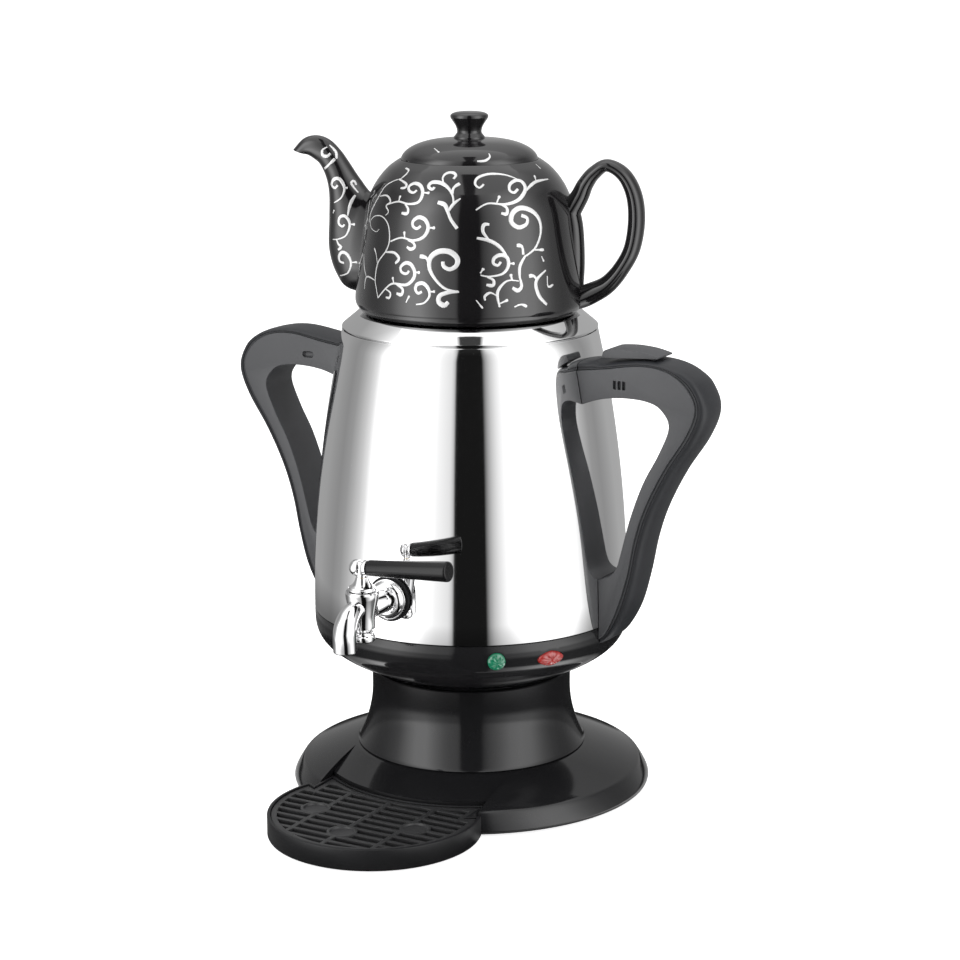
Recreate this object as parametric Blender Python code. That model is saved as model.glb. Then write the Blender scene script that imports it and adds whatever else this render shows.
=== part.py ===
# Electric samovar with a porcelain teapot on its lid: the construction, piece by piece.
# Metres, +Z up. The origin is on the samovar's axis, on the underside of its base cover.
# The tap and the drip tray point along -Y, the handle with the switch is at +X.

import math

import bmesh
import bpy
from mathutils import Matrix, Vector

# Fits shared by every piece
GAP = 0.0003
OVERRUN = 0.002
SLIDE_PLAY = 0.0005

# Faces round turned pieces
LARGE_FACES = 32
POT_FACES = 24
SMALL_FACES = 14
TINY_FACES = 8

# Base
BASE_RADIUS = 0.105
BASE_RIM_HEIGHT = 0.0125
BASE_CREASE_RISE = 0.0025
BASE_CREASE_INSET = 0.003
BASE_TOP_HEIGHT = 0.0225
BASE_CROWN = 0.0008
BASE_WALL = 0.0022
COVER_THICKNESS = 0.002
COVER_RIM = 0.0017
FOOT_RADIUS = 0.007
FOOT_STAND = 0.0018
FOOT_STEM_RADIUS = 0.0025
FOOT_STEM_RISE = 0.0008
FOOT_INSET = 0.025
FOOT_POCKET_DEPTH = 0.0006
GLAND_BORE_RADIUS = 0.0032
GLAND_WALL = 0.001
GLAND_FLANGE = 0.0012
GLAND_FLANGE_THICKNESS = 0.0015
GLAND_HEIGHT = 0.0073

# Drip tray and its notch in the base
NOTCH_DEPTH = 0.017
NOTCH_LIP_HEIGHT = 0.0135
NOTCH_SETBACK = 0.001
TRAY_RADIUS = 0.060
TRAY_OVERHANG = 0.005
TRAY_SHOULDER = 0.008
TRAY_TOP = 0.0115
TRAY_BOTTOM = -0.001
TRAY_WALL = 0.002
TRAY_FLOOR = 0.0015
TRAY_LEDGE = 0.0016
GRILLE_THICKNESS = 0.002
GRILLE_SUNK = 0.0008
GRILLE_BORDER = 0.003
GRILLE_PITCH = 0.0076
GRILLE_SLOT = 0.0048
GRILLE_RIB = 0.0026
GRILLE_RIB_SPACING = 0.0275
GRILLE_PAD_RADIUS = 0.0085
GRILLE_PAD_CIRCLE = 0.034
GRILLE_PAD_DISH = 0.0008
GRILLE_PAD_RIM = 0.0012
GRILLE_PAD_SPREAD = math.radians(72)

# Pedestal and the rod that clamps the stack
PEDESTAL_FOOT_RADIUS = 0.067
PEDESTAL_WAIST_RADIUS = 0.0582
PEDESTAL_HEIGHT = 0.0449
PEDESTAL_FLARE_HEIGHT = 0.0335
PEDESTAL_WALL = 0.0025
PEDESTAL_FLANGE = 0.014
ROD_RADIUS = 0.003
ROD_TAIL = 0.002
NUT_RADIUS = 0.0055
NUT_HEIGHT = 0.005
CLAMP_PLATE_THICKNESS = 0.002
CLAMP_PLATE_OVERLAP = 0.006

# Lower bowl
BOWL_HEIGHT = 0.0367
BOWL_NECK_RADIUS = 0.056
BOWL_BAND_HEIGHT = 0.0017
BOWL_WALL = 0.0025
BOWL_LIP_HEIGHT = 0.0062
BOWL_LIP_THICKNESS = 0.002
BOWL_SWELL_POWER = 2.69
BOWL_RISE_POWER = 0.65

# Tank
TANK_FOOT_RADIUS = 0.0913
TANK_HEIGHT = 0.163
TANK_SIDE_RADIUS = 0.738
TANK_WALL = 0.001
TANK_FLOOR_RISE = 0.007
TANK_FLOOR_CORNER = 0.003

# Heater under the tank floor
HEATER_RADIUS = 0.055
HEATER_THICKNESS = 0.003
ELEMENT_RING_RADIUS = 0.040
ELEMENT_TUBE_RADIUS = 0.0035
ELEMENT_SWEEP = math.radians(310)
ELEMENT_STEPS = 16
ELEMENT_TAIL = 0.009
THERMOSTAT_RADIUS = 0.008
THERMOSTAT_HEIGHT = 0.009
THERMOSTAT_SPACING = 0.021
FUSE_RADIUS = 0.002
FUSE_LENGTH = 0.014

# Indicator lamps on the bowl
LAMP_HEIGHT = 0.0265
GREEN_LAMP_ANGLE = math.radians(38.5)
RED_LAMP_ANGLE = math.radians(59.5)
GREEN_LENS_WIDTH = 0.0100
GREEN_LENS_HEIGHT = 0.0100
RED_LENS_WIDTH = 0.0140
RED_LENS_HEIGHT = 0.0072
LENS_STAND = 0.0010
LENS_DOME = 0.0010
LAMP_DEPTH = 0.013
LAMP_COLLAR = 0.0012
LAMP_COLLAR_SETBACK = 0.0075
LAMP_COLLAR_THICKNESS = 0.0012

# Tap
TAP_HEIGHT = 0.0245
TAP_VALVE_REACH = 0.029
TAP_OUTLET_REACH = 0.047
TAP_SHANK_RADIUS = 0.006
TAP_SHANK_INSIDE = 0.014
TAP_BORE_RADIUS = 0.0035
TAP_GASKET_RADIUS = 0.012
TAP_GASKET_THICKNESS = 0.002
TAP_FLANGE_RADIUS = 0.0115
TAP_FLANGE_RISE = 0.0045
TAP_NUT_RADIUS = 0.0105
TAP_NUT_THICKNESS = 0.005
VALVE_TOP_RADIUS = 0.009
VALVE_FOOT_RADIUS = 0.0072
VALVE_HALF_HEIGHT = 0.0115
VALVE_SPIGOT_RADIUS = 0.004
VALVE_SPIGOT_LENGTH = 0.003
CHAMBER_RADIUS = 0.0058
CHAMBER_FLOOR = 0.003
CAP_RADIUS = 0.0068
CAP_HEIGHT = 0.0055
CAP_GROOVE = 0.0006
BONNET_RADIUS = 0.00785
BONNET_HEIGHT = 0.0074
BONNET_BAND = 0.0016
BONNET_NECK_RADIUS = 0.0034
BONNET_COLLAR = 0.0022
STEM_RADIUS = 0.0023
OUTLET_RADIUS = 0.0065
OUTLET_BORE_RADIUS = 0.0043
OUTLET_DROP = 0.021
OUTLET_THROAT_RADIUS = 0.0048

# Tap lever
LEVER_HEIGHT = 0.0243
LEVER_TILT = math.radians(5)
LEVER_BALL_RADIUS = 0.0045
LEVER_BALL_OFFSET = 0.0030
LEVER_WAIST_RADIUS = 0.0036
LEVER_WAIST_WIDTH = 0.0016
LEVER_FERRULE_RADIUS = 0.0043
LEVER_FERRULE_END = 0.0040
LEVER_TANG_RADIUS = 0.0018
LEVER_TANG_END = 0.022
GRIP_START = 0.0043
GRIP_END = 0.055
GRIP_START_RADIUS = 0.0043
GRIP_END_RADIUS = 0.0056
GRIP_ROUNDING = 0.0012

# Handles
HANDLE_REACH = 0.0615
HANDLE_WIDTH = 0.028
HANDLE_FOOT_DROP = 0.008
HANDLE_HEAD_DROP = 0.0085
HANDLE_EDGE_ROUNDING = 0.0022
HANDLE_COVER_WIDTH = 0.0255
HANDLE_COVER_ROUNDING = 0.0018
HANDLE_CURVE_STEPS = 1
VENT_SLOT_WIDTH = 0.0014
VENT_SLOT_HEIGHT = 0.0046
VENT_SLOT_PITCH = 0.0028
VENT_SLOT_DEPTH = 0.0008
VENT_REACH_SHARE = 0.17
VENT_HEIGHT_SHARE = 0.913
SCREW_RADIUS = 0.0018
SCREW_HEAD_RADIUS = 0.0034
SCREW_HEAD_THICKNESS = 0.0018
UPPER_SCREW_DROP = 0.0255
UPPER_SCREW_GRIP = 0.012
LOWER_SCREW_RISE = 0.0036
LOWER_SCREW_GRIP = 0.0045

# Outlines of the handle as shares of its reach from the tank and of its height
HANDLE_EDGE_SHARES = (
    (-0.346, 0.945), (0.011, 0.963), (0.320, 0.982), (0.532, 0.980), (0.702, 0.959),
    (0.841, 0.914), (0.906, 0.849), (0.824, 0.760), (0.613, 0.634), (0.434, 0.498),
    (0.328, 0.375), (0.260, 0.246), (0.166, 0.129), (0.044, 0.031), (-0.086, -0.006),
)
HANDLE_CROWN_SHARES = (
    (-0.346, 0.960), (0.011, 0.982), (0.272, 0.997), (0.467, 1.000), (0.662, 0.988),
    (0.816, 0.960), (0.922, 0.920), (1.000, 0.840), (0.909, 0.742), (0.702, 0.618),
    (0.532, 0.489), (0.426, 0.372), (0.353, 0.243), (0.263, 0.120), (0.109, 0.022),
    (-0.050, -0.020),
)
HANDLE_INSIDE_SHARES = (
    (-0.346, 0.825), (-0.184, 0.852), (0.011, 0.874), (0.223, 0.882), (0.434, 0.877),
    (0.580, 0.852), (0.662, 0.788), (0.564, 0.689), (0.418, 0.585), (0.293, 0.458),
    (0.198, 0.323), (0.158, 0.274), (0.085, 0.240), (-0.102, 0.212),
)

# Switch paddle on the right handle
PADDLE_START = -0.0110
PADDLE_END = 0.0300
PADDLE_RISE = 0.0050
PADDLE_WIDTH = 0.0235
PADDLE_HEEL_GAP = 0.0018
PADDLE_ROUNDING = 0.0012
PADDLE_TOP_SHARES = ((0.0, 0.08), (0.10, 0.62), (0.26, 0.96), (0.50, 1.0), (0.76, 0.74), (1.0, 0.24))
PIVOT_SETBACK = 0.0045
PIVOT_DEPTH = 0.0054
KNUCKLE_RADIUS = 0.0022
KNUCKLE_WIDTH = 0.010
PIN_RADIUS = 0.0010
PIN_HALF_LENGTH = 0.0095

# Tank lid that carries the teapot
LID_RISE = 0.0087
LID_SHOULDER_RADIUS = 0.0645
LID_EDGE = 0.0007
LID_SHEET = 0.0008
LID_SKIRT_DEPTH = 0.0068
LID_SKIRT_PLAY = 0.0005
STEAM_HOLE_RADIUS = 0.018

# Teapot
POT_TURN = math.radians(17)
POT_FOOT_RADIUS = 0.060
POT_FOOT_RING = 0.0045
POT_FOOT_RECESS = 0.002
POT_BELLY_RADIUS = 0.0653
POT_BELLY_HEIGHT = 0.0085
POT_SHOULDER_RADIUS = 0.0605
POT_SHOULDER_HEIGHT = 0.0475
POT_RIM_RADIUS = 0.0396
POT_HEIGHT = 0.0864
POT_WALL = 0.0035
POT_MOUTH_RADIUS = 0.0345
POT_LEDGE_DEPTH = 0.0012
POT_DOME_SHARES = ((0.880, 0.386), (0.722, 0.566), (0.612, 0.681), (0.450, 0.797), (0.258, 0.913))
SPOUT_REACH = 0.1028
SPOUT_RISE = 0.0117
SPOUT_HALF_WIDTH = 0.013
SPOUT_WALL = 0.0017
# Lower edge, upper edge and half width of each section of the spout, from root to mouth
SPOUT_SHARES = (
    (0.467, 0.078, 0.467, 0.619, 1.00), (0.681, 0.104, 0.559, 0.675, 0.96),
    (0.759, 0.191, 0.584, 0.700, 0.88), (0.801, 0.333, 0.613, 0.741, 0.80),
    (0.798, 0.517, 0.642, 0.782, 0.70), (0.796, 0.660, 0.681, 0.843, 0.62),
    (0.812, 0.756, 0.730, 0.914, 0.54), (0.846, 0.831, 0.793, 0.976, 0.48),
    (0.885, 0.866, 0.866, 1.000, 0.44), (0.910, 0.882, 0.939, 0.981, 0.40),
    (0.923, 0.889, 1.000, 0.916, 0.37),
)
SPOUT_FACES = 12
LOOP_REACH = 0.100
LOOP_RISE = 0.0003
LOOP_HALF_WIDTH = 0.007
LOOP_HALF_THICKNESS = 0.005
LOOP_FACES = 8
# Centre line of the teapot's ear from its lower root to its upper root, and its half thickness
LOOP_SHARES = (
    (0.500, 0.150, 1.30), (0.690, 0.158, 1.24), (0.790, 0.221, 1.04), (0.875, 0.331, 0.96),
    (0.932, 0.481, 0.98), (0.950, 0.631, 1.00), (0.928, 0.798, 0.92), (0.868, 0.914, 0.80),
    (0.780, 0.966, 0.70), (0.695, 0.917, 0.86), (0.640, 0.827, 1.05), (0.500, 0.690, 1.20),
)
# The ear's foot against the teapot's side: centre line and half thickness
LOOP_LEG_SHARES = ((0.580, 0.130, 1.24), (0.585, 0.330, 1.50), (0.585, 0.600, 1.30), (0.575, 0.860, 1.10))

# Teapot lid
POT_LID_PLAY = 0.0006
POT_LID_THICKNESS = 0.003
POT_LID_DOME = 0.0114
POT_LID_SKIRT = 0.006
POT_LID_SKIRT_THICKNESS = 0.0027
KNOB_FOOT_RADIUS = 0.0087
KNOB_WAIST_RADIUS = 0.0069
KNOB_TOP_RADIUS = 0.0107
KNOB_HEIGHT = 0.015
KNOB_SHARES = ((0.0, 0.0), (0.45, 0.14), (1.0, 0.22), (1.0, 0.30))

# Heights and places that follow from the sizes above
PEDESTAL_BOTTOM = BASE_TOP_HEIGHT + GAP
PEDESTAL_TOP = PEDESTAL_BOTTOM + PEDESTAL_HEIGHT
BOWL_BOTTOM = PEDESTAL_TOP + GAP
BOWL_TOP = BOWL_BOTTOM + BOWL_HEIGHT
BOWL_CURVE_HEIGHT = BOWL_HEIGHT - BOWL_BAND_HEIGHT
BOWL_RIM_RADIUS = TANK_FOOT_RADIUS
TANK_BOTTOM = BOWL_TOP + GAP
TANK_TOP = TANK_BOTTOM + TANK_HEIGHT
TANK_FLOOR = TANK_BOTTOM + TANK_FLOOR_RISE
LID_BOTTOM = TANK_TOP + GAP
LID_TOP = LID_BOTTOM + LID_RISE
POT_BOTTOM = LID_TOP + GAP
SPOUT_HEIGHT = POT_HEIGHT + SPOUT_RISE
LOOP_HEIGHT = POT_HEIGHT + LOOP_RISE
NOTCH_BACK_RADIUS = BASE_RADIUS - NOTCH_DEPTH
TRAY_CENTRE = BASE_RADIUS + TRAY_OVERHANG
NOTCH_HALF_WIDTH = TRAY_RADIUS - TRAY_SHOULDER
COVER_RADIUS = BASE_RADIUS - COVER_RIM - GAP
TRAY_REST = COVER_THICKNESS + GAP
GRILLE_TOP = TRAY_TOP - GRILLE_SUNK
GRILLE_BOTTOM = GRILLE_TOP - GRILLE_THICKNESS
HEATER_TOP = TANK_FLOOR - GAP
HEATER_BOTTOM = HEATER_TOP - HEATER_THICKNESS
TAP_Z = TANK_BOTTOM + TAP_HEIGHT
HANDLE_LOW = TANK_BOTTOM - HANDLE_FOOT_DROP
HANDLE_HIGH = TANK_TOP - HANDLE_HEAD_DROP


# Building blocks

def clear_scene():
    for old in list(bpy.data.objects):
        bpy.data.objects.remove(old, do_unlink=True)


def finish(name, mesh):
    piece = bpy.data.objects.new(name, mesh)
    bpy.context.scene.collection.objects.link(piece)
    return piece


def from_bmesh(name, shape):
    bmesh.ops.recalc_face_normals(shape, faces=shape.faces)
    mesh = bpy.data.meshes.new(name)
    shape.to_mesh(mesh)
    shape.free()
    return finish(name, mesh)


def ring_faces(shape, first, second):
    """Join two rings of vertices, either of which may be a single pole."""
    count = max(len(first), len(second))
    if count == 1:
        return
    for index in range(count):
        after = (index + 1) % count
        corners = [first[index % len(first)], first[after % len(first)],
                   second[after % len(second)], second[index % len(second)]]
        unique = list(dict.fromkeys(corners))
        shape.faces.new(unique)


def lathe(name, profile, faces=LARGE_FACES):
    """Turn a closed outline of (radius, height) about +Z."""
    shape = bmesh.new()
    rings = []
    for radius, height in profile:
        if radius == 0:
            rings.append([shape.verts.new((0, 0, height))])
            continue
        turns = [2 * math.pi * index / faces for index in range(faces)]
        rings.append([shape.verts.new((radius * math.cos(turn), radius * math.sin(turn), height))
                      for turn in turns])
    for index, ring in enumerate(rings):
        ring_faces(shape, ring, rings[(index + 1) % len(rings)])
    return from_bmesh(name, shape)


def loft(name, rings):
    """Skin a row of rings with equal counts of points and cap both ends."""
    shape = bmesh.new()
    made = [[shape.verts.new(point) for point in ring] for ring in rings]
    for first, second in zip(made, made[1:]):
        ring_faces(shape, first, second)
    shape.faces.new(made[0])
    shape.faces.new(list(reversed(made[-1])))
    return from_bmesh(name, shape)


def upright(name, outline, low, high):
    """Extrude an outline of (x, y) from one height to another."""
    return loft(name, [[(x, y, height) for x, y in outline] for height in (low, high)])


def crosswise(name, outline, near, far):
    """Extrude an outline of (x, z) from one y to another."""
    return loft(name, [[(x, y, z) for x, z in outline] for y in (near, far)])


def block(name, low, high):
    corners = [(low[0], low[1]), (high[0], low[1]), (high[0], high[1]), (low[0], high[1])]
    return upright(name, corners, low[2], high[2])


def circle(radius, count):
    return [(radius * math.cos(2 * math.pi * index / count), radius * math.sin(2 * math.pi * index / count))
            for index in range(count)]


def rod(name, radius, low, high, faces=SMALL_FACES):
    return upright(name, circle(radius, faces), low, high)


def place(piece, matrix):
    piece.data.transform(matrix)
    return piece


def along_minus_y(height, reach=0.0):
    """Turn a piece made on +Z so that it points along -Y at the given height."""
    return Matrix.Translation((0, -reach, height)) @ Matrix.Rotation(math.pi / 2, 4, 'X')


def along_x(x, y, z, side=1):
    """Turn a piece made on +Z so that it points along +X, or -X for side -1."""
    return Matrix.Translation((x, y, z)) @ Matrix.Rotation(side * math.pi / 2, 4, 'Y')


def settle(piece):
    """Replace the mesh by the one that the modifiers give."""
    seen = piece.evaluated_get(bpy.context.evaluated_depsgraph_get())
    solid = bpy.data.meshes.new_from_object(seen)
    piece.modifiers.clear()
    piece.data = solid
    return piece


def combine(piece, tool, operation):
    step = piece.modifiers.new('combine', 'BOOLEAN')
    step.operation = operation
    step.solver = 'EXACT'
    step.object = tool
    settle(piece)
    bpy.data.objects.remove(tool, do_unlink=True)
    return piece


def cut(piece, tool):
    return combine(piece, tool, 'DIFFERENCE')


def add(piece, tool):
    return combine(piece, tool, 'UNION')


def keep(piece, tool):
    return combine(piece, tool, 'INTERSECT')


def round_edges(piece, width):
    step = piece.modifiers.new('rounding', 'BEVEL')
    step.width = width
    step.segments = 1
    step.limit_method = 'ANGLE'
    step.angle_limit = math.radians(50)
    return settle(piece)


def smooth_through(points, steps):
    """Points of a smooth curve through the given ones, with a few steps in each span."""
    count = len(points)
    result = []
    for index in range(count - 1):
        picks = [index - 1, index, index + 1, index + 2]
        before, start, end, after = (Vector(points[min(max(pick, 0), count - 1)]) for pick in picks)
        for step in range(steps):
            t = step / steps
            result.append(0.5 * (2 * start + (end - before) * t
                                 + (2 * before - 5 * start + 4 * end - after) * t ** 2
                                 + (3 * start - before - 3 * end + after) * t ** 3))
    result.append(Vector(points[-1]))
    return result


def set_aside(points, distance):
    """Move a plane curve to its left by a distance."""
    moved = []
    for index, point in enumerate(points):
        ahead = points[min(index + 1, len(points) - 1)]
        behind = points[max(index - 1, 0)]
        direction = (ahead - behind).normalized()
        moved.append(point + distance * Vector((-direction.y, direction.x)))
    return moved


def arc(centre, radius, start, end, steps):
    """Points of a plane arc, both ends included."""
    return [(centre[0] + radius * math.cos(start + (end - start) * index / steps),
             centre[1] + radius * math.sin(start + (end - start) * index / steps))
            for index in range(steps + 1)]


def material(name, colour, roughness, metallic=0.0, coat=0.0):
    look = bpy.data.materials.new(name)
    look.use_nodes = True
    shader = look.node_tree.nodes['Principled BSDF']
    shader.inputs['Base Color'].default_value = (*colour, 1.0)
    shader.inputs['Roughness'].default_value = roughness
    shader.inputs['Metallic'].default_value = metallic
    shader.inputs['Coat Weight'].default_value = coat
    look.diffuse_color = (*colour, 1.0)
    return look


def dress(piece, look):
    """Give a piece its material and smooth shading that stops at its edges."""
    piece.data.materials.clear()
    piece.data.materials.append(look)
    for face in piece.data.polygons:
        face.material_index = 0
    piece.data.shade_smooth()
    piece.data.set_sharp_from_angle(angle=math.radians(32))
    return piece


# Shared outer forms

def bowl_radius(height):
    """Outer radius of the bowl at a height above its bottom."""
    share = min(height / BOWL_CURVE_HEIGHT, 1.0)
    turn_cosine = (1.0 - share) ** (1.0 / BOWL_RISE_POWER)
    swell = math.sqrt(1.0 - turn_cosine ** 2) ** BOWL_SWELL_POWER
    return BOWL_NECK_RADIUS + (BOWL_RIM_RADIUS - BOWL_NECK_RADIUS) * swell


def bowl_curve(inset, steps):
    """Points (radius, height) up the side of the bowl, moved inward by an inset."""
    points = []
    for index in range(steps + 1):
        turn = 0.5 * math.pi * index / steps
        swell = math.sin(turn) ** BOWL_SWELL_POWER
        rise = 1.0 - math.cos(turn) ** BOWL_RISE_POWER
        radius = BOWL_NECK_RADIUS + (BOWL_RIM_RADIUS - BOWL_NECK_RADIUS) * swell - inset
        height = BOWL_BOTTOM + inset + (BOWL_CURVE_HEIGHT - inset) * rise
        points.append((radius, height))
    return points


def tank_radius(z):
    """Outer radius of the tank at a world height."""
    sine = (z - TANK_BOTTOM) / TANK_SIDE_RADIUS
    return TANK_FOOT_RADIUS - TANK_SIDE_RADIUS * (1.0 - math.sqrt(1.0 - sine ** 2))


def tank_curve(inset, low, high, steps):
    heights = [low + (high - low) * index / steps for index in range(steps + 1)]
    return [(tank_radius(height) - inset, height) for height in heights]


def tank_inside_curve(gap):
    """Points up the inside of the tank's wall, above the floor's rounded corner."""
    low = TANK_FLOOR + TANK_WALL + TANK_FLOOR_CORNER
    return tank_curve(TANK_WALL + gap, low, TANK_TOP, TANK_STEPS)


def body_envelope(gap):
    """Solid that fills bowl, tank and lid with a gap round them, to cut what leans on them."""
    profile = [(0, BOWL_BOTTOM)]
    profile += bowl_curve(-gap, BOWL_STEPS)
    profile += tank_curve(-gap, TANK_BOTTOM, TANK_TOP, TANK_STEPS)
    profile += [(0, TANK_TOP)]
    return lathe('envelope', profile)


BOWL_STEPS = 7
BOWL_INNER_STEPS = 5
TANK_STEPS = 5


# Base, tray and pedestal

def base_cone(inset):
    """Points of the base's upper skin, moved inward by a wall."""
    crease_radius = BASE_RADIUS - BASE_CREASE_INSET
    crease_height = BASE_RIM_HEIGHT + BASE_CREASE_RISE
    middle_radius = 0.5 * (crease_radius + PEDESTAL_FOOT_RADIUS)
    middle_height = 0.5 * (crease_height + BASE_TOP_HEIGHT) + BASE_CROWN
    return [(BASE_RADIUS - inset, BASE_RIM_HEIGHT - 0.5 * inset),
            (BASE_RADIUS - 0.3 * BASE_CREASE_INSET - inset, BASE_RIM_HEIGHT + 0.65 * BASE_CREASE_RISE - inset),
            (crease_radius - inset, crease_height - inset),
            (middle_radius - inset, middle_height - inset),
            (PEDESTAL_FOOT_RADIUS - inset, BASE_TOP_HEIGHT - inset)]


def notch_cutter(inset):
    """Room for the rear of the drip tray: a steeper cone and a round back, between two sides."""
    deep = TRAY_BOTTOM - FOOT_STAND - OVERRUN
    high = BASE_TOP_HEIGHT + OVERRUN
    back = NOTCH_BACK_RADIUS - inset
    outside = BASE_RADIUS + OVERRUN
    start = PEDESTAL_FOOT_RADIUS + NOTCH_SETBACK - inset
    profile = [(start, high), (start, BASE_TOP_HEIGHT + 0.1 * NOTCH_SETBACK - inset),
               (back, NOTCH_LIP_HEIGHT - inset), (back, deep), (outside, deep), (outside, high)]
    room = place(lathe('notch', profile), Matrix.Rotation(math.pi / LARGE_FACES, 4, 'Z'))
    half = NOTCH_HALF_WIDTH + inset
    return keep(room, block('notch_sides', (-half, -outside - OVERRUN, deep - OVERRUN),
                            (half, 0, high + OVERRUN)))


def base_opening_radius():
    return PEDESTAL_FOOT_RADIUS - PEDESTAL_FLANGE


def make_base_housing():
    opening = base_opening_radius()
    skin = [(opening, 0), (BASE_RADIUS, 0)] + base_cone(0) + [(opening, BASE_TOP_HEIGHT)]
    housing = cut(lathe('base_housing', skin), notch_cutter(0))
    inner = base_cone(BASE_WALL)
    hollow_inner_radius = opening - OVERRUN
    hollow_profile = ([(hollow_inner_radius, -OVERRUN), (BASE_RADIUS - BASE_WALL, -OVERRUN)] + inner
                      + [(hollow_inner_radius, BASE_TOP_HEIGHT - BASE_WALL)])
    hollow = cut(lathe('hollow', hollow_profile), notch_cutter(BASE_WALL))
    housing = cut(housing, hollow)
    recess = COVER_RADIUS + GAP
    pocket = lathe('pocket', [(0, -OVERRUN), (recess, -OVERRUN), (recess, TRAY_REST), (0, TRAY_REST)])
    housing = cut(housing, pocket)
    hole = rod('gland_hole', GLAND_BORE_RADIUS + GLAND_WALL + GAP, 0, BASE_WALL + 2 * OVERRUN)
    place(hole, along_minus_y(GLAND_HEIGHT, -(BASE_RADIUS + OVERRUN)))
    return cut(housing, hole)


def foot_places():
    circle_radius = BASE_RADIUS - FOOT_INSET
    return [(circle_radius * math.cos(math.radians(turn)), circle_radius * math.sin(math.radians(turn)))
            for turn in (45, 135, 225, 315)]


def make_base_cover():
    cover = lathe('base_bottom_cover', [(0, 0), (COVER_RADIUS, 0), (COVER_RADIUS, COVER_THICKNESS),
                                        (0, COVER_THICKNESS)])
    for x, y in foot_places():
        hole = rod('stem_hole', FOOT_STEM_RADIUS + GAP, -OVERRUN, COVER_THICKNESS + OVERRUN, TINY_FACES)
        cut(cover, place(hole, Matrix.Translation((x, y, 0))))
        pocket = rod('foot_pocket', FOOT_RADIUS + GAP, -OVERRUN, FOOT_POCKET_DEPTH, TINY_FACES)
        cut(cover, place(pocket, Matrix.Translation((x, y, 0))))
    return cover


def make_foot(name, x, y):
    top = COVER_THICKNESS + FOOT_STEM_RISE
    seat = FOOT_POCKET_DEPTH - GAP
    low = -FOOT_STAND
    profile = [(0, low), (FOOT_RADIUS, low), (FOOT_RADIUS, seat), (FOOT_STEM_RADIUS, seat),
               (FOOT_STEM_RADIUS, top), (0, top)]
    foot = lathe(name, profile, TINY_FACES)
    return place(foot, Matrix.Translation((x, y, 0)))


def make_cord_gland():
    barrel = GLAND_BORE_RADIUS + GLAND_WALL
    outside = GAP + GLAND_FLANGE_THICKNESS
    inside = -BASE_WALL - GAP - GLAND_FLANGE_THICKNESS
    profile = [(GLAND_BORE_RADIUS, inside), (barrel, inside), (barrel, GAP), (barrel + GLAND_FLANGE, GAP),
               (barrel + 0.6 * GLAND_FLANGE, outside), (GLAND_BORE_RADIUS, outside)]
    gland = lathe('cord_gland', profile, SMALL_FACES)
    turned = Matrix.Translation((0, BASE_RADIUS, GLAND_HEIGHT)) @ Matrix.Rotation(-math.pi / 2, 4, 'X')
    return place(gland, turned)


def tray_outline(inset):
    """Outline of the tray seen from above: its own circle, the base's rim, and the notch."""
    own = TRAY_RADIUS - inset
    rim = BASE_RADIUS + SLIDE_PLAY + inset
    back = NOTCH_BACK_RADIUS + SLIDE_PLAY + inset
    side = NOTCH_HALF_WIDTH - SLIDE_PLAY - inset
    meet_y = -(rim ** 2 - own ** 2 + TRAY_CENTRE ** 2) / (2 * TRAY_CENTRE)
    meet_x = math.sqrt(rim ** 2 - meet_y ** 2)
    meet_turn = math.atan2(meet_y + TRAY_CENTRE, meet_x)
    right = arc((0, -TRAY_CENTRE), own, -0.5 * math.pi, meet_turn, TRAY_STEPS)
    right += arc((0, 0), rim, math.atan2(meet_y, meet_x), -math.acos(side / rim), 2)[1:]
    right += arc((0, 0), back, -math.acos(side / back), -0.5 * math.pi, TRAY_BACK_STEPS)
    left = [(-x, y) for x, y in reversed(right[1:-1])]
    return right + left


TRAY_STEPS = 12
TRAY_BACK_STEPS = 4


def make_drip_tray():
    tray = upright('drip_tray', tray_outline(0), TRAY_BOTTOM, TRAY_TOP)
    tray = round_edges(tray, 0.3 * TRAY_WALL)
    over_cover = COVER_RADIUS + SLIDE_PLAY
    step = lathe('rear_step', [(0, TRAY_BOTTOM - OVERRUN), (over_cover, TRAY_BOTTOM - OVERRUN),
                               (over_cover, TRAY_REST), (0, TRAY_REST)])
    cut(tray, step)
    hollow = upright('tray_hollow', tray_outline(TRAY_WALL + TRAY_LEDGE), TRAY_BOTTOM + TRAY_FLOOR, TRAY_TOP)
    raised = over_cover + TRAY_WALL
    floor_top = TRAY_REST + TRAY_FLOOR
    cut(hollow, lathe('raised_floor', [(0, TRAY_BOTTOM), (raised, TRAY_BOTTOM), (raised, floor_top),
                                       (0, floor_top)]))
    cut(tray, hollow)
    seat = upright('grille_seat', tray_outline(TRAY_WALL), GRILLE_BOTTOM - GAP, TRAY_TOP + OVERRUN)
    return cut(tray, seat)


def pad_places():
    """Centres of the round pads in the grille."""
    places = []
    for turn in (-GRILLE_PAD_SPREAD, 0.0, GRILLE_PAD_SPREAD):
        places.append((GRILLE_PAD_CIRCLE * math.sin(turn), -TRAY_CENTRE - GRILLE_PAD_CIRCLE * math.cos(turn)))
    return places


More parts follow.
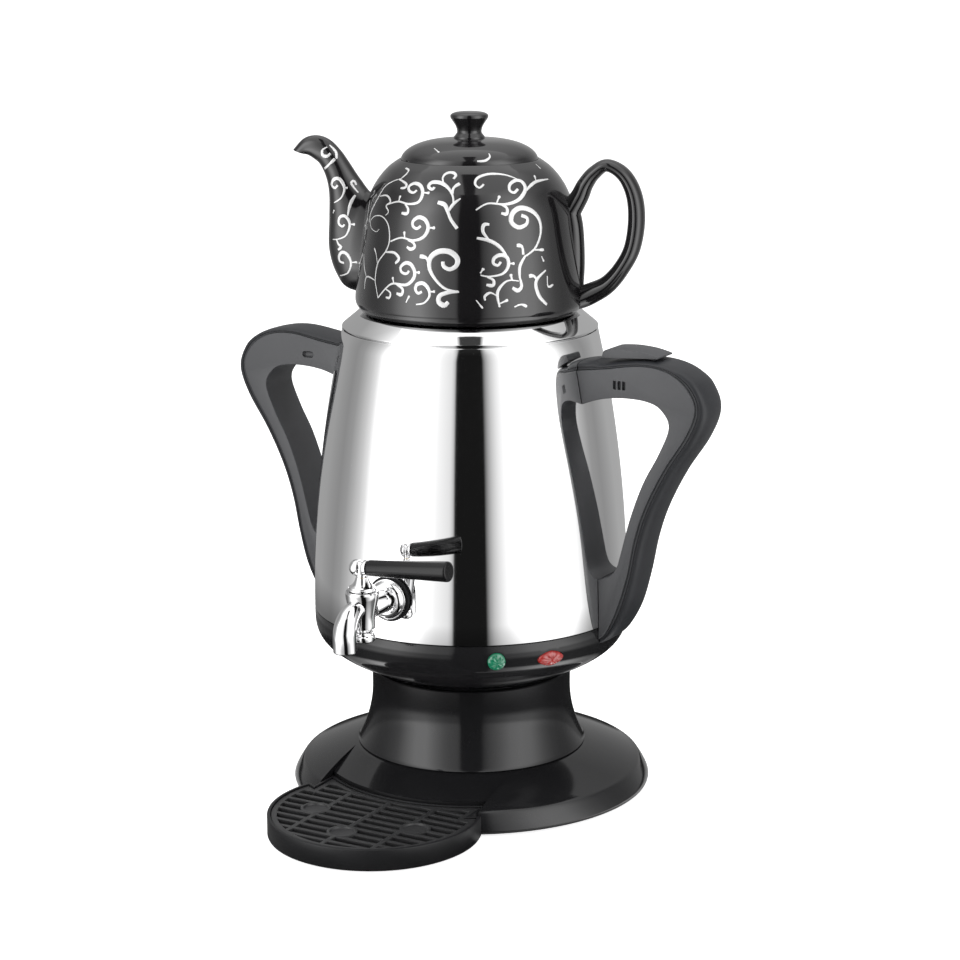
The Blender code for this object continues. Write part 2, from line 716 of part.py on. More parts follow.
def make_drip_grille():
    """Flat grille: rows of slots between cross ribs, with a solid dished pad at three places."""
    border = TRAY_WALL + SLIDE_PLAY + GRILLE_BORDER
    plate = upright('drip_grille', tray_outline(TRAY_WALL + SLIDE_PLAY), GRILLE_BOTTOM, GRILLE_TOP)
    low = GRILLE_BOTTOM - OVERRUN
    high = GRILLE_TOP + OVERRUN
    openings = upright('openings', tray_outline(border), low, high)
    rows = math.ceil(TRAY_RADIUS / GRILLE_PITCH)
    bar = GRILLE_PITCH - GRILLE_SLOT
    for row in range(-rows, rows + 1):
        middle = -TRAY_CENTRE + (row + 0.5) * GRILLE_PITCH
        bar_block = block('bar', (-TRAY_RADIUS, middle - 0.5 * bar, low - OVERRUN),
                          (TRAY_RADIUS, middle + 0.5 * bar, high + OVERRUN))
        cut(openings, bar_block)
    for rib in (-1, 0, 1):
        middle = rib * GRILLE_RIB_SPACING
        cut(openings, block('rib', (middle - 0.5 * GRILLE_RIB, -TRAY_CENTRE - TRAY_RADIUS, low - OVERRUN),
                            (middle + 0.5 * GRILLE_RIB, 0, high + OVERRUN)))
    for x, y in pad_places():
        pad = rod('pad', GRILLE_PAD_RADIUS, low - OVERRUN, high + OVERRUN)
        cut(openings, place(pad, Matrix.Translation((x, y, 0))))
    cut(plate, openings)
    for x, y in pad_places():
        dish = rod('dish', GRILLE_PAD_RADIUS - GRILLE_PAD_RIM, GRILLE_TOP - GRILLE_PAD_DISH, high)
        cut(plate, place(dish, Matrix.Translation((x, y, 0))))
    return plate


def pedestal_flare(inset, low, steps):
    """Concave side of the pedestal from its foot to its waist, as (radius, height)."""
    spread = PEDESTAL_FOOT_RADIUS - PEDESTAL_WAIST_RADIUS
    sweep_radius = (spread ** 2 + PEDESTAL_FLARE_HEIGHT ** 2) / (2 * spread)
    centre_radius = PEDESTAL_WAIST_RADIUS + sweep_radius
    centre_height = PEDESTAL_BOTTOM + PEDESTAL_FLARE_HEIGHT
    points = []
    for index in range(steps + 1):
        height = low + (centre_height - low) * index / steps
        reach = math.sqrt(sweep_radius ** 2 - (height - centre_height) ** 2)
        points.append((centre_radius - reach - inset, height))
    return points


FLARE_STEPS = 5
INNER_FLARE_STEPS = 2


def make_pedestal():
    hole = ROD_RADIUS + GAP
    spigot = base_opening_radius() - GAP
    spigot_low = BASE_TOP_HEIGHT - BASE_WALL + GAP
    top = PEDESTAL_TOP
    profile = [(spigot, PEDESTAL_BOTTOM)] + pedestal_flare(0, PEDESTAL_BOTTOM, FLARE_STEPS)
    profile += [(PEDESTAL_WAIST_RADIUS, top), (hole, top), (hole, top - PEDESTAL_WALL),
                (PEDESTAL_WAIST_RADIUS - PEDESTAL_WALL, top - PEDESTAL_WALL)]
    profile += list(reversed(pedestal_flare(PEDESTAL_WALL, PEDESTAL_BOTTOM + PEDESTAL_WALL, INNER_FLARE_STEPS)))
    profile += [(spigot - PEDESTAL_WALL, PEDESTAL_BOTTOM + PEDESTAL_WALL), (spigot - PEDESTAL_WALL, spigot_low),
                (spigot, spigot_low)]
    return lathe('pedestal', profile)


def clamp_top():
    return BASE_TOP_HEIGHT - BASE_WALL - GAP


def make_clamp_plate():
    top = clamp_top()
    low = top - CLAMP_PLATE_THICKNESS
    outer = base_opening_radius() + CLAMP_PLATE_OVERLAP
    hole = ROD_RADIUS + GAP
    return lathe('clamp_plate', [(hole, low), (outer, low), (outer, top), (hole, top)], POT_FACES)


def make_tie_rod():
    low = clamp_top() - CLAMP_PLATE_THICKNESS - GAP - NUT_HEIGHT - ROD_TAIL
    return rod('tie_rod', ROD_RADIUS, low, TANK_FLOOR - GAP, TINY_FACES)


def hexagon_nut(name, across, bore, low, high):
    nut = rod(name, across, low, high, 6)
    return cut(nut, rod('bore', bore, low - OVERRUN, high + OVERRUN, SMALL_FACES))


def make_tie_nut():
    high = clamp_top() - CLAMP_PLATE_THICKNESS - GAP
    return hexagon_nut('tie_nut', NUT_RADIUS, ROD_RADIUS + GAP, high - NUT_HEIGHT, high)


# Bowl, lamps and heater

def make_lower_bowl():
    hole = ROD_RADIUS + GAP
    lip_outer = TANK_FOOT_RADIUS - TANK_WALL - GAP
    lip_inner = lip_outer - BOWL_LIP_THICKNESS
    lip_top = BOWL_TOP + BOWL_LIP_HEIGHT
    profile = [(hole, BOWL_BOTTOM)] + bowl_curve(0, BOWL_STEPS)
    profile += [(BOWL_RIM_RADIUS, BOWL_TOP), (lip_outer, BOWL_TOP), (lip_outer, lip_top), (lip_inner, lip_top)]
    profile += list(reversed(bowl_curve(BOWL_WALL + BOWL_LIP_THICKNESS * 0.5, BOWL_INNER_STEPS)))
    profile += [(hole, BOWL_BOTTOM + BOWL_WALL)]
    bowl = lathe('lower_bowl', profile)
    for lamp in LAMPS:
        hole_tool = lens_post('lamp_hole', lamp, GAP, LENS_STAND + OVERRUN, 0, -LAMP_COLLAR_SETBACK)
        cut(bowl, place(hole_tool, lamp_frame(lamp['angle'])))
    for side in (-1, 1):
        cut(bowl, lower_screw_hole(side))
    return bowl


LAMPS = (
    {'name': 'lamp_green', 'angle': GREEN_LAMP_ANGLE, 'width': GREEN_LENS_WIDTH, 'height': GREEN_LENS_HEIGHT},
    {'name': 'lamp_red', 'angle': RED_LAMP_ANGLE, 'width': RED_LENS_WIDTH, 'height': RED_LENS_HEIGHT},
)


def lamp_frame(angle):
    """Frame on the bowl's skin with +Z along the outward normal and +Y up the skin."""
    step = 0.05 * LAMP_HEIGHT
    slope = math.atan2(bowl_radius(LAMP_HEIGHT + step) - bowl_radius(LAMP_HEIGHT - step), 2 * step)
    radius = bowl_radius(LAMP_HEIGHT)
    turn = Matrix.Rotation(angle, 4, 'Z')
    out = Matrix.Translation((0, -radius, BOWL_BOTTOM + LAMP_HEIGHT))
    return turn @ out @ Matrix.Rotation(slope, 4, 'X') @ Matrix.Rotation(math.pi / 2, 4, 'X')


def lens_post(name, lamp, growth, front, dome, back):
    """Post with the lens's oval outline, with a shallow dome on its front."""
    half_width = 0.5 * lamp['width'] + growth
    half_height = 0.5 * lamp['height'] + growth
    levels = [(1.0, back), (1.0, front)]
    if dome:
        levels += [(0.82, front + 0.62 * dome), (0.45, front + dome)]
    rings = []
    for share, height in levels:
        rings.append([(x * half_width * share, y * half_height * share, height)
                      for x, y in circle(1, SMALL_FACES)])
    return loft(name, rings)


def make_lamp(lamp):
    body = lens_post(lamp['name'], lamp, 0, LENS_STAND, LENS_DOME, -LAMP_DEPTH)
    collar = lens_post('collar', lamp, LAMP_COLLAR, -LAMP_COLLAR_SETBACK, 0,
                       -LAMP_COLLAR_SETBACK - LAMP_COLLAR_THICKNESS)
    add(body, collar)
    return place(body, lamp_frame(lamp['angle']))


def make_heater_plate():
    hole = ROD_RADIUS + GAP
    profile = [(hole, HEATER_BOTTOM), (HEATER_RADIUS, HEATER_BOTTOM), (HEATER_RADIUS, HEATER_TOP), (hole, HEATER_TOP)]
    return lathe('heater_plate', profile, POT_FACES)


def make_heating_element():
    """Open ring of tube under the heater plate, both ends turned down for their wires."""
    height = HEATER_BOTTOM - GAP - ELEMENT_TUBE_RADIUS
    start = 0.5 * math.pi + 0.5 * (2 * math.pi - ELEMENT_SWEEP)
    section = circle(ELEMENT_TUBE_RADIUS, TINY_FACES)
    rings = []
    for index in range(ELEMENT_STEPS + 1):
        turn = start + ELEMENT_SWEEP * index / ELEMENT_STEPS
        out = Vector((math.cos(turn), math.sin(turn), 0))
        centre = out * ELEMENT_RING_RADIUS + Vector((0, 0, height))
        rings.append([centre + out * a + Vector((0, 0, b)) for a, b in section])
    element = loft('heating_element', rings)
    for turn in (start, start + ELEMENT_SWEEP):
        tail = rod('tail', ELEMENT_TUBE_RADIUS * 0.8, height - ELEMENT_TAIL, height, TINY_FACES)
        inward = Vector((math.cos(turn), math.sin(turn), 0)) * ELEMENT_RING_RADIUS
        along = Vector((-math.sin(turn), math.cos(turn), 0)) * ELEMENT_TUBE_RADIUS
        inward += along if turn == start else -along
        add(element, place(tail, Matrix.Translation(inward)))
    return element


def make_thermostat(name, side):
    top = HEATER_BOTTOM - GAP
    low = top - THERMOSTAT_HEIGHT
    neck = 0.7 * THERMOSTAT_RADIUS
    profile = [(0, low), (neck, low), (neck, low + 0.4 * THERMOSTAT_HEIGHT),
               (THERMOSTAT_RADIUS, low + 0.4 * THERMOSTAT_HEIGHT), (THERMOSTAT_RADIUS, top), (0, top)]
    return place(lathe(name, profile, TINY_FACES), Matrix.Translation((side * THERMOSTAT_SPACING, 0, 0)))


def make_thermal_fuse():
    fuse = rod('thermal_fuse', FUSE_RADIUS, -0.5 * FUSE_LENGTH, 0.5 * FUSE_LENGTH, TINY_FACES)
    return place(fuse, along_x(0, THERMOSTAT_SPACING, HEATER_BOTTOM - GAP - FUSE_RADIUS))


# Tank and its lid

def make_tank():
    """Steel vessel: curved side, floor above a skirt that hides the heater."""
    floor_top = TANK_FLOOR + TANK_WALL
    corner = TANK_FLOOR_CORNER
    inside_low = tank_radius(floor_top) - TANK_WALL
    profile = tank_curve(0, TANK_BOTTOM, TANK_TOP, TANK_STEPS)
    profile += list(reversed(tank_inside_curve(0)))
    profile += [(inside_low - 0.3 * corner, floor_top + 0.3 * corner), (inside_low - corner, floor_top),
                (0, floor_top), (0, TANK_FLOOR), (TANK_FOOT_RADIUS - TANK_WALL, TANK_FLOOR),
                (TANK_FOOT_RADIUS - TANK_WALL, TANK_BOTTOM)]
    tank = lathe('tank_shell', profile)
    wall = tank_radius(TAP_Z)
    hole = rod('tap_hole', TAP_SHANK_RADIUS + GAP, -TANK_WALL - OVERRUN, OVERRUN)
    cut(tank, place(hole, along_minus_y(TAP_Z, wall)))
    for side in (-1, 1):
        cut(tank, upper_screw_hole(side))
        cut(tank, lower_screw_hole(side))
    return tank


def make_tank_lid():
    """Lid with a polished shoulder, a flat seat for the teapot and a hole for the steam."""
    rim = tank_radius(TANK_TOP)
    skirt = rim - TANK_WALL - LID_SKIRT_PLAY
    seat = LID_SHOULDER_RADIUS
    under_seat = LID_TOP - LID_SHEET
    profile = [(rim, LID_BOTTOM), (rim, LID_BOTTOM + LID_EDGE), (seat, LID_TOP), (STEAM_HOLE_RADIUS, LID_TOP),
               (STEAM_HOLE_RADIUS, under_seat), (seat - 0.4 * LID_SHEET, under_seat),
               (skirt - LID_SHEET, LID_BOTTOM + LID_EDGE), (skirt - LID_SHEET, LID_BOTTOM - LID_SKIRT_DEPTH),
               (skirt, LID_BOTTOM - LID_SKIRT_DEPTH), (skirt, LID_BOTTOM)]
    return lathe('tank_lid', profile)


# Tap

def wall_at_tap():
    return tank_radius(TAP_Z)


def make_tap_gasket():
    wall = wall_at_tap()
    low = -TAP_GASKET_THICKNESS
    profile = [(TAP_SHANK_RADIUS + GAP, low), (TAP_GASKET_RADIUS, low), (TAP_GASKET_RADIUS, TAP_GASKET_THICKNESS),
               (TAP_SHANK_RADIUS + GAP, TAP_GASKET_THICKNESS)]
    gasket = place(lathe('tap_gasket', profile, SMALL_FACES), along_minus_y(TAP_Z, wall))
    return cut(gasket, body_envelope(GAP))


def make_tap_inner_gasket():
    wall = wall_at_tap() - TANK_WALL
    radius = 0.95 * TAP_NUT_RADIUS
    profile = [(TAP_SHANK_RADIUS + GAP, -TAP_GASKET_THICKNESS - GAP), (radius, -TAP_GASKET_THICKNESS - GAP),
               (radius, OVERRUN), (TAP_SHANK_RADIUS + GAP, OVERRUN)]
    gasket = place(lathe('tap_inner_gasket', profile, SMALL_FACES), along_minus_y(TAP_Z, wall))
    curve = tank_inside_curve(GAP)
    inside = [(0, curve[0][1])] + curve + [(0, curve[-1][1])]
    return keep(gasket, lathe('tank_inside', inside))


def make_tap_lock_nut():
    high = -TANK_WALL - TAP_GASKET_THICKNESS - 2 * GAP
    nut = hexagon_nut('tap_lock_nut', TAP_NUT_RADIUS, TAP_SHANK_RADIUS + GAP, high - TAP_NUT_THICKNESS, high)
    return place(nut, along_minus_y(TAP_Z, wall_at_tap()))


def make_tap_flange():
    """Domed rose that covers the gasket."""
    back = TAP_GASKET_THICKNESS + GAP
    inner = TAP_SHANK_RADIUS + GAP
    profile = [(inner, back), (TAP_FLANGE_RADIUS, back)]
    for index in range(4):
        turn = 0.5 * math.pi * index / 4
        radius = inner + (TAP_FLANGE_RADIUS - inner) * math.cos(turn) ** 0.8
        profile.append((radius, back + 0.18 * TAP_FLANGE_RISE + 0.82 * TAP_FLANGE_RISE * math.sin(turn)))
    profile.append((inner, back + TAP_FLANGE_RISE))
    return place(lathe('tap_flange', profile, SMALL_FACES + 4), along_minus_y(TAP_Z, wall_at_tap()))


def valve_axis():
    return -(wall_at_tap() + TAP_VALVE_REACH)


def on_valve(piece):
    return place(piece, Matrix.Translation((0, valve_axis(), TAP_Z)))


def spout_path():
    """Centre line (y, z) and radii of the curved outlet, from the valve to its mouth."""
    outlet = -(wall_at_tap() + TAP_OUTLET_REACH)
    start = valve_axis()
    span = outlet - start
    mouth = TAP_Z - OUTLET_DROP
    throat = TAP_Z + 0.22 * VALVE_HALF_HEIGHT
    points = [(start, throat), (start + 0.42 * span, throat), (start + 0.80 * span, throat - 0.16 * OUTLET_DROP),
              (outlet, throat - 0.48 * OUTLET_DROP), (outlet, mouth)]
    return smooth_through(points, 3)


def make_spout(name, start_radius, end_radius, overrun):
    path = spout_path()
    if overrun:
        path.append(path[-1] - Vector((0, overrun)))
    rings = []
    for index, point in enumerate(path):
        ahead = path[min(index + 1, len(path) - 1)]
        behind = path[max(index - 1, 0)]
        direction = (ahead - behind).normalized()
        side = Vector((0, -direction.y, direction.x))
        share = min(1.5 * index / (len(path) - 1), 1.0)
        radius = start_radius + (end_radius - start_radius) * share
        centre = Vector((0, point.x, point.y))
        rings.append([centre + side * a + Vector((b, 0, 0)) for a, b in circle(radius, TINY_FACES + 2)])
    return loft(name, rings)


def make_tap_body():
    """Cock body: threaded shank, barrel, tapered valve housing and curved outlet, with its waterway."""
    half = VALVE_HALF_HEIGHT
    housing = [(0, -half - VALVE_SPIGOT_LENGTH), (VALVE_SPIGOT_RADIUS, -half - VALVE_SPIGOT_LENGTH),
               (VALVE_SPIGOT_RADIUS, -half), (VALVE_FOOT_RADIUS, -half), (VALVE_FOOT_RADIUS, 0.1 * half),
               (VALVE_TOP_RADIUS, 0.72 * half), (VALVE_TOP_RADIUS, half), (0, half)]
    body = on_valve(lathe('tap_body', housing, SMALL_FACES + 4))
    wall = wall_at_tap()
    shank = rod('shank', TAP_SHANK_RADIUS, -TAP_SHANK_INSIDE, TAP_VALVE_REACH, SMALL_FACES)
    add(body, place(shank, along_minus_y(TAP_Z, wall)))
    add(body, make_spout('spout', OUTLET_THROAT_RADIUS, OUTLET_RADIUS, 0))
    waterway = rod('waterway', TAP_BORE_RADIUS, -TAP_SHANK_INSIDE - OVERRUN, TAP_VALVE_REACH, TINY_FACES)
    cut(body, place(waterway, along_minus_y(TAP_Z, wall)))
    cut(body, make_spout('outlet_bore', TAP_BORE_RADIUS, OUTLET_BORE_RADIUS, OVERRUN))
    chamber = rod('chamber', CHAMBER_RADIUS, -half + CHAMBER_FLOOR, half + OVERRUN, SMALL_FACES)
    return cut(body, on_valve(chamber))


def make_tap_plug():
    """Turning plug with its cross hole, and the stem that carries the lever."""
    low = -VALVE_HALF_HEIGHT + CHAMBER_FLOOR + GAP
    shoulder = VALVE_HALF_HEIGHT - BONNET_COLLAR - GAP
    radius = CHAMBER_RADIUS - GAP
    top = LEVER_HEIGHT + 0.35 * LEVER_BALL_RADIUS
    profile = [(0, low), (radius, low), (radius, shoulder), (STEM_RADIUS, shoulder), (STEM_RADIUS, top), (0, top)]
    plug = lathe('tap_plug', profile, SMALL_FACES)
    hole = rod('cross_hole', TAP_BORE_RADIUS - GAP, -CHAMBER_RADIUS - OVERRUN, CHAMBER_RADIUS + OVERRUN, TINY_FACES)
    cut(plug, place(hole, along_x(0, 0, 0)))
    return on_valve(plug)


def make_tap_bonnet():
    """Conical nut that holds the plug down."""
    low = VALVE_HALF_HEIGHT - BONNET_COLLAR
    seat = VALVE_HALF_HEIGHT + GAP
    top = seat + BONNET_HEIGHT
    collar = CHAMBER_RADIUS - GAP
    bore = STEM_RADIUS + GAP
    profile = [(bore, low), (collar, low), (collar, seat), (BONNET_RADIUS, seat), (BONNET_RADIUS, seat + BONNET_BAND),
               (0.70 * BONNET_RADIUS, seat + 0.46 * BONNET_HEIGHT), (1.12 * BONNET_NECK_RADIUS, seat + 0.72 * BONNET_HEIGHT),
               (BONNET_NECK_RADIUS, top), (bore, top)]
    return on_valve(lathe('tap_bonnet', profile, SMALL_FACES))


def make_tap_bottom_cap():
    top = -VALVE_HALF_HEIGHT - GAP
    low = top - CAP_HEIGHT
    blind = top - VALVE_SPIGOT_LENGTH
    bore = VALVE_SPIGOT_RADIUS + GAP
    groove = CAP_RADIUS - CAP_GROOVE
    profile = [(0, low), (0.8 * CAP_RADIUS, low), (CAP_RADIUS, low + 0.2 * CAP_HEIGHT),
               (CAP_RADIUS, top - 0.35 * CAP_HEIGHT), (groove, top - 0.28 * CAP_HEIGHT), (groove, top), (bore, top),
               (bore, blind - GAP), (0, blind - GAP)]
    return on_valve(lathe('tap_bottom_cap', profile, SMALL_FACES))


def lever_frame():
    return (Matrix.Translation((0, valve_axis(), TAP_Z + LEVER_HEIGHT)) @ Matrix.Rotation(-LEVER_TILT, 4, 'Y')
            @ Matrix.Rotation(math.pi / 2, 4, 'Y'))


def make_lever_hub():
    """Ball end, waist, ferrule and the tang inside the grip, turned on the lever's own axis."""
    ball = LEVER_BALL_RADIUS
    centre = -LEVER_BALL_OFFSET
    waist = LEVER_WAIST_RADIUS
    profile = [(0, centre - ball)]
    for index in range(1, 7):
        turn = math.radians(22) * index
        profile.append((ball * math.sin(turn), centre - ball * math.cos(turn)))
    waist_start = profile[-1][1]
    profile += [(waist, waist_start + 0.3 * LEVER_WAIST_WIDTH), (waist, LEVER_WAIST_WIDTH),
                (LEVER_FERRULE_RADIUS, LEVER_WAIST_WIDTH + 0.3 * LEVER_WAIST_WIDTH),
                (LEVER_FERRULE_RADIUS, LEVER_FERRULE_END), (LEVER_TANG_RADIUS, LEVER_FERRULE_END),
                (LEVER_TANG_RADIUS, LEVER_TANG_END), (0, LEVER_TANG_END)]
    hub = place(lathe('lever_hub', profile, SMALL_FACES), lever_frame())
    neck = rod('neck', BONNET_NECK_RADIUS, VALVE_HALF_HEIGHT + BONNET_HEIGHT + 2 * GAP, LEVER_HEIGHT, TINY_FACES)
    add(hub, on_valve(neck))
    socket_top = LEVER_HEIGHT + 0.35 * LEVER_BALL_RADIUS + GAP
    socket = rod('socket', STEM_RADIUS + GAP, VALVE_HALF_HEIGHT, socket_top, TINY_FACES)
    return cut(hub, on_valve(socket))


def make_lever_grip():
    start = GRIP_START
    profile = [(LEVER_TANG_RADIUS + GAP, start), (GRIP_START_RADIUS - GRIP_ROUNDING, start),
               (GRIP_START_RADIUS, start + GRIP_ROUNDING),
               (0.5 * (GRIP_START_RADIUS + GRIP_END_RADIUS), 0.5 * (start + GRIP_END)),
               (GRIP_END_RADIUS, GRIP_END - GRIP_ROUNDING), (GRIP_END_RADIUS - GRIP_ROUNDING, GRIP_END), (0, GRIP_END),
               (0, LEVER_TANG_END + GAP), (LEVER_TANG_RADIUS + GAP, LEVER_TANG_END + GAP)]
    return place(lathe('lever_grip', profile, SMALL_FACES), lever_frame())


# Handles

def handle_points(shares, steps=HANDLE_CURVE_STEPS):
    span = HANDLE_HIGH - HANDLE_LOW
    points = [(TANK_FOOT_RADIUS + x * HANDLE_REACH, HANDLE_LOW + z * span) for x, z in shares]
    return smooth_through(points, steps)


def upper_screw_height():
    return TANK_TOP - UPPER_SCREW_DROP


def upper_screw_hole(side):
    height = upper_screw_height()
    wall = tank_radius(height)
    hole = rod('screw_hole', SCREW_RADIUS + GAP, -TANK_WALL - 2 * OVERRUN, UPPER_SCREW_GRIP + GAP, TINY_FACES)
    return place(hole, along_x(side * wall, 0, height, side))


def lower_screw_height():
    return TANK_BOTTOM + LOWER_SCREW_RISE


def lower_screw_hole(side):
    inside = -TANK_WALL - GAP - BOWL_LIP_THICKNESS - OVERRUN
    hole = rod('screw_hole', SCREW_RADIUS + GAP, inside, LOWER_SCREW_GRIP + GAP, TINY_FACES)
    return place(hole, along_x(side * TANK_FOOT_RADIUS, 0, lower_screw_height(), side))


def make_screw(name, side, wall, height, head, grip):
    """Round-headed screw that points outward from a seat under its head."""
    profile = [(0, head - SCREW_HEAD_THICKNESS), (0.7 * SCREW_HEAD_RADIUS, head - SCREW_HEAD_THICKNESS),
               (SCREW_HEAD_RADIUS, head - 0.4 * SCREW_HEAD_THICKNESS), (SCREW_HEAD_RADIUS, head),
               (SCREW_RADIUS, head), (SCREW_RADIUS, grip), (0, grip)]
    return place(lathe(name, profile, TINY_FACES), along_x(side * wall, 0, height, side))


def make_handle_screws(side, word):
    height = upper_screw_height()
    lean = tank_radius(height) - tank_radius(height + SCREW_HEAD_RADIUS)
    upper = make_screw('handle_screw_upper_' + word, side, tank_radius(height), height,
                       -TANK_WALL - lean - 2 * GAP, UPPER_SCREW_GRIP)
    sag = SCREW_HEAD_RADIUS ** 2 / TANK_FOOT_RADIUS
    lower = make_screw('handle_screw_lower_' + word, side, TANK_FOOT_RADIUS, lower_screw_height(),
                       -TANK_WALL - 2 * GAP - BOWL_LIP_THICKNESS - sag, LOWER_SCREW_GRIP)
    return [upper, lower]


def pivot_place():
    """Place (x, z) of the switch paddle's pivot under the crown of the right handle."""
    crown = handle_points(HANDLE_CROWN_SHARES, 6)
    x = TANK_FOOT_RADIUS + PADDLE_END - PIVOT_SETBACK
    return x, height_on(crown, x) - PIVOT_DEPTH


def height_on(curve, x):
    """Height of a curve that runs outward, where it passes a given x."""
    for start, end in zip(curve, curve[1:]):
        if start.x <= x <= end.x:
            return start.y + (end.y - start.y) * (x - start.x) / (end.x - start.x)
    return curve[0].y


def knuckle_room(x, z):
    """Slot and bore in the right handle for the paddle's knuckle."""
    half = 0.5 * KNUCKLE_WIDTH + GAP
    reach = KNUCKLE_RADIUS + GAP
    room = rod('room', reach, -half, half)
    place(room, Matrix.Translation((x, 0, z)) @ Matrix.Rotation(math.pi / 2, 4, 'X'))
    return add(room, block('room_top', (x - reach, -half, z), (x + reach, half, z + PIVOT_DEPTH + OVERRUN)))


def make_handle(side, word):
    """Inner frame and outer cover of one handle, cut to the tank and the bowl."""
    edge = handle_points(HANDLE_EDGE_SHARES)
    inside = handle_points(HANDLE_INSIDE_SHARES)
    crown = handle_points(HANDLE_CROWN_SHARES)
    half = 0.5 * HANDLE_WIDTH
    frame = crosswise('handle_frame_' + word, edge + list(reversed(inside)), -half, half)
    round_edges(frame, HANDLE_EDGE_ROUNDING)
    half_cover = 0.5 * HANDLE_COVER_WIDTH
    seat = set_aside(edge, GAP)
    cover = crosswise('handle_cover_' + word, crown + list(reversed(seat)), -half_cover, half_cover)
    round_edges(cover, HANDLE_COVER_ROUNDING)
    for index in (-1, 0, 1):
        span = HANDLE_HIGH - HANDLE_LOW
        x = TANK_FOOT_RADIUS + VENT_REACH_SHARE * HANDLE_REACH + index * VENT_SLOT_PITCH
        z = HANDLE_LOW + VENT_HEIGHT_SHARE * span
        cut(frame, block('vent', (x - 0.5 * VENT_SLOT_WIDTH, -half - OVERRUN, z - 0.5 * VENT_SLOT_HEIGHT),
                         (x + 0.5 * VENT_SLOT_WIDTH, -half + VENT_SLOT_DEPTH, z + 0.5 * VENT_SLOT_HEIGHT)))
    if side > 0:
        x, z = pivot_place()
        cut(frame, knuckle_room(x, z))
        cut(cover, knuckle_room(x, z))
        bore = rod('pin_bore', PIN_RADIUS + GAP, -PIN_HALF_LENGTH - GAP, half + OVERRUN, TINY_FACES)
        cut(frame, place(bore, Matrix.Translation((x, 0, z)) @ Matrix.Rotation(-math.pi / 2, 4, 'X')))
    else:
        mirror = Matrix.Scale(-1, 4, (1, 0, 0))
        for piece in (frame, cover):
            place(piece, mirror)
            piece.data.flip_normals()
    cut(frame, upper_screw_hole(side))
    cut(frame, lower_screw_hole(side))
    for piece in (frame, cover):
        cut(piece, body_envelope(GAP))
    return frame, cover


def make_switch_paddle():
    """Thumb paddle that rocks on a pin in the right handle."""
    x, z = pivot_place()
    crown = handle_points(HANDLE_CROWN_SHARES, 6)
    start = TANK_FOOT_RADIUS + PADDLE_START
    end = TANK_FOOT_RADIUS + PADDLE_END
    length = end - start
    under = []
    for index in range(PADDLE_STEPS + 1):
        share = index / PADDLE_STEPS
        place_x = end - length * share
        slack = GAP + PADDLE_HEEL_GAP * share
        under.append((place_x, height_on(crown, place_x) + slack))
    top = []
    for share, rise in PADDLE_TOP_SHARES:
        place_x = start + share * length
        top.append((place_x, height_on(crown, place_x) + GAP + PADDLE_HEEL_GAP * (1 - share) + rise * PADDLE_RISE))
    half = 0.5 * PADDLE_WIDTH
    paddle = crosswise('switch_paddle', top + under, -half, half)
    round_edges(paddle, PADDLE_ROUNDING)
    knuckle_half = 0.5 * KNUCKLE_WIDTH
    knuckle = rod('knuckle', KNUCKLE_RADIUS, -knuckle_half, knuckle_half, TINY_FACES)
    place(knuckle, Matrix.Translation((x, 0, z)) @ Matrix.Rotation(math.pi / 2, 4, 'X'))
    web = 0.7 * KNUCKLE_RADIUS
    add(knuckle, block('web', (x - web, -knuckle_half, z), (x + web, knuckle_half, z + PIVOT_DEPTH + 0.3 * PADDLE_RISE)))
    add(paddle, knuckle)
    bore = rod('pin_bore', PIN_RADIUS + GAP, -knuckle_half - OVERRUN, knuckle_half + OVERRUN, TINY_FACES)
    return cut(paddle, place(bore, Matrix.Translation((x, 0, z)) @ Matrix.Rotation(math.pi / 2, 4, 'X')))


PADDLE_STEPS = 5


def make_switch_pin():
    x, z = pivot_place()
    pin = rod('switch_pin', PIN_RADIUS, -PIN_HALF_LENGTH, PIN_HALF_LENGTH, TINY_FACES)
    return place(pin, Matrix.Translation((x, 0, z)) @ Matrix.Rotation(math.pi / 2, 4, 'X'))


# Teapot

def pot_skin(inset):
    """Side of the teapot from above its foot to its shoulder and over the dome."""
    spread = POT_SHOULDER_RADIUS - POT_RIM_RADIUS
    rise = POT_HEIGHT - POT_SHOULDER_HEIGHT
    points = [(POT_BELLY_RADIUS - inset, POT_BELLY_HEIGHT + 0.5 * inset),
              (0.5 * (POT_BELLY_RADIUS + POT_SHOULDER_RADIUS) - inset, 0.5 * (POT_BELLY_HEIGHT + POT_SHOULDER_HEIGHT)),
              (POT_SHOULDER_RADIUS - inset, POT_SHOULDER_HEIGHT)]
    for out, up in POT_DOME_SHARES:
        points.append((POT_RIM_RADIUS + spread * out - inset * (1 - 0.35 * up),
                       POT_SHOULDER_HEIGHT + rise * up - 0.9 * inset * up))
    return points


def make_spout_solid(name, wall, overrun):
    """Swan-neck spout, or its bore when a wall is given, in the teapot's own frame."""
    rings = []
    for low_x, low_z, high_x, high_z, width in SPOUT_SHARES:
        low = Vector((-low_x * SPOUT_REACH, 0, low_z * SPOUT_HEIGHT))
        high = Vector((-high_x * SPOUT_REACH, 0, high_z * SPOUT_HEIGHT))
        centre = 0.5 * (low + high)
        half = high - centre
        half = half * (1.0 - wall / half.length)
        across = Vector((0, SPOUT_HALF_WIDTH * width - wall, 0))
        rings.append([centre + half * a + across * b for a, b in circle(1, SPOUT_FACES)])
    if overrun:
        step = (sum(rings[-1], Vector()) - sum(rings[-2], Vector())) / SPOUT_FACES
        rings.append([point + step.normalized() * overrun for point in rings[-1]])
    return loft(name, rings)


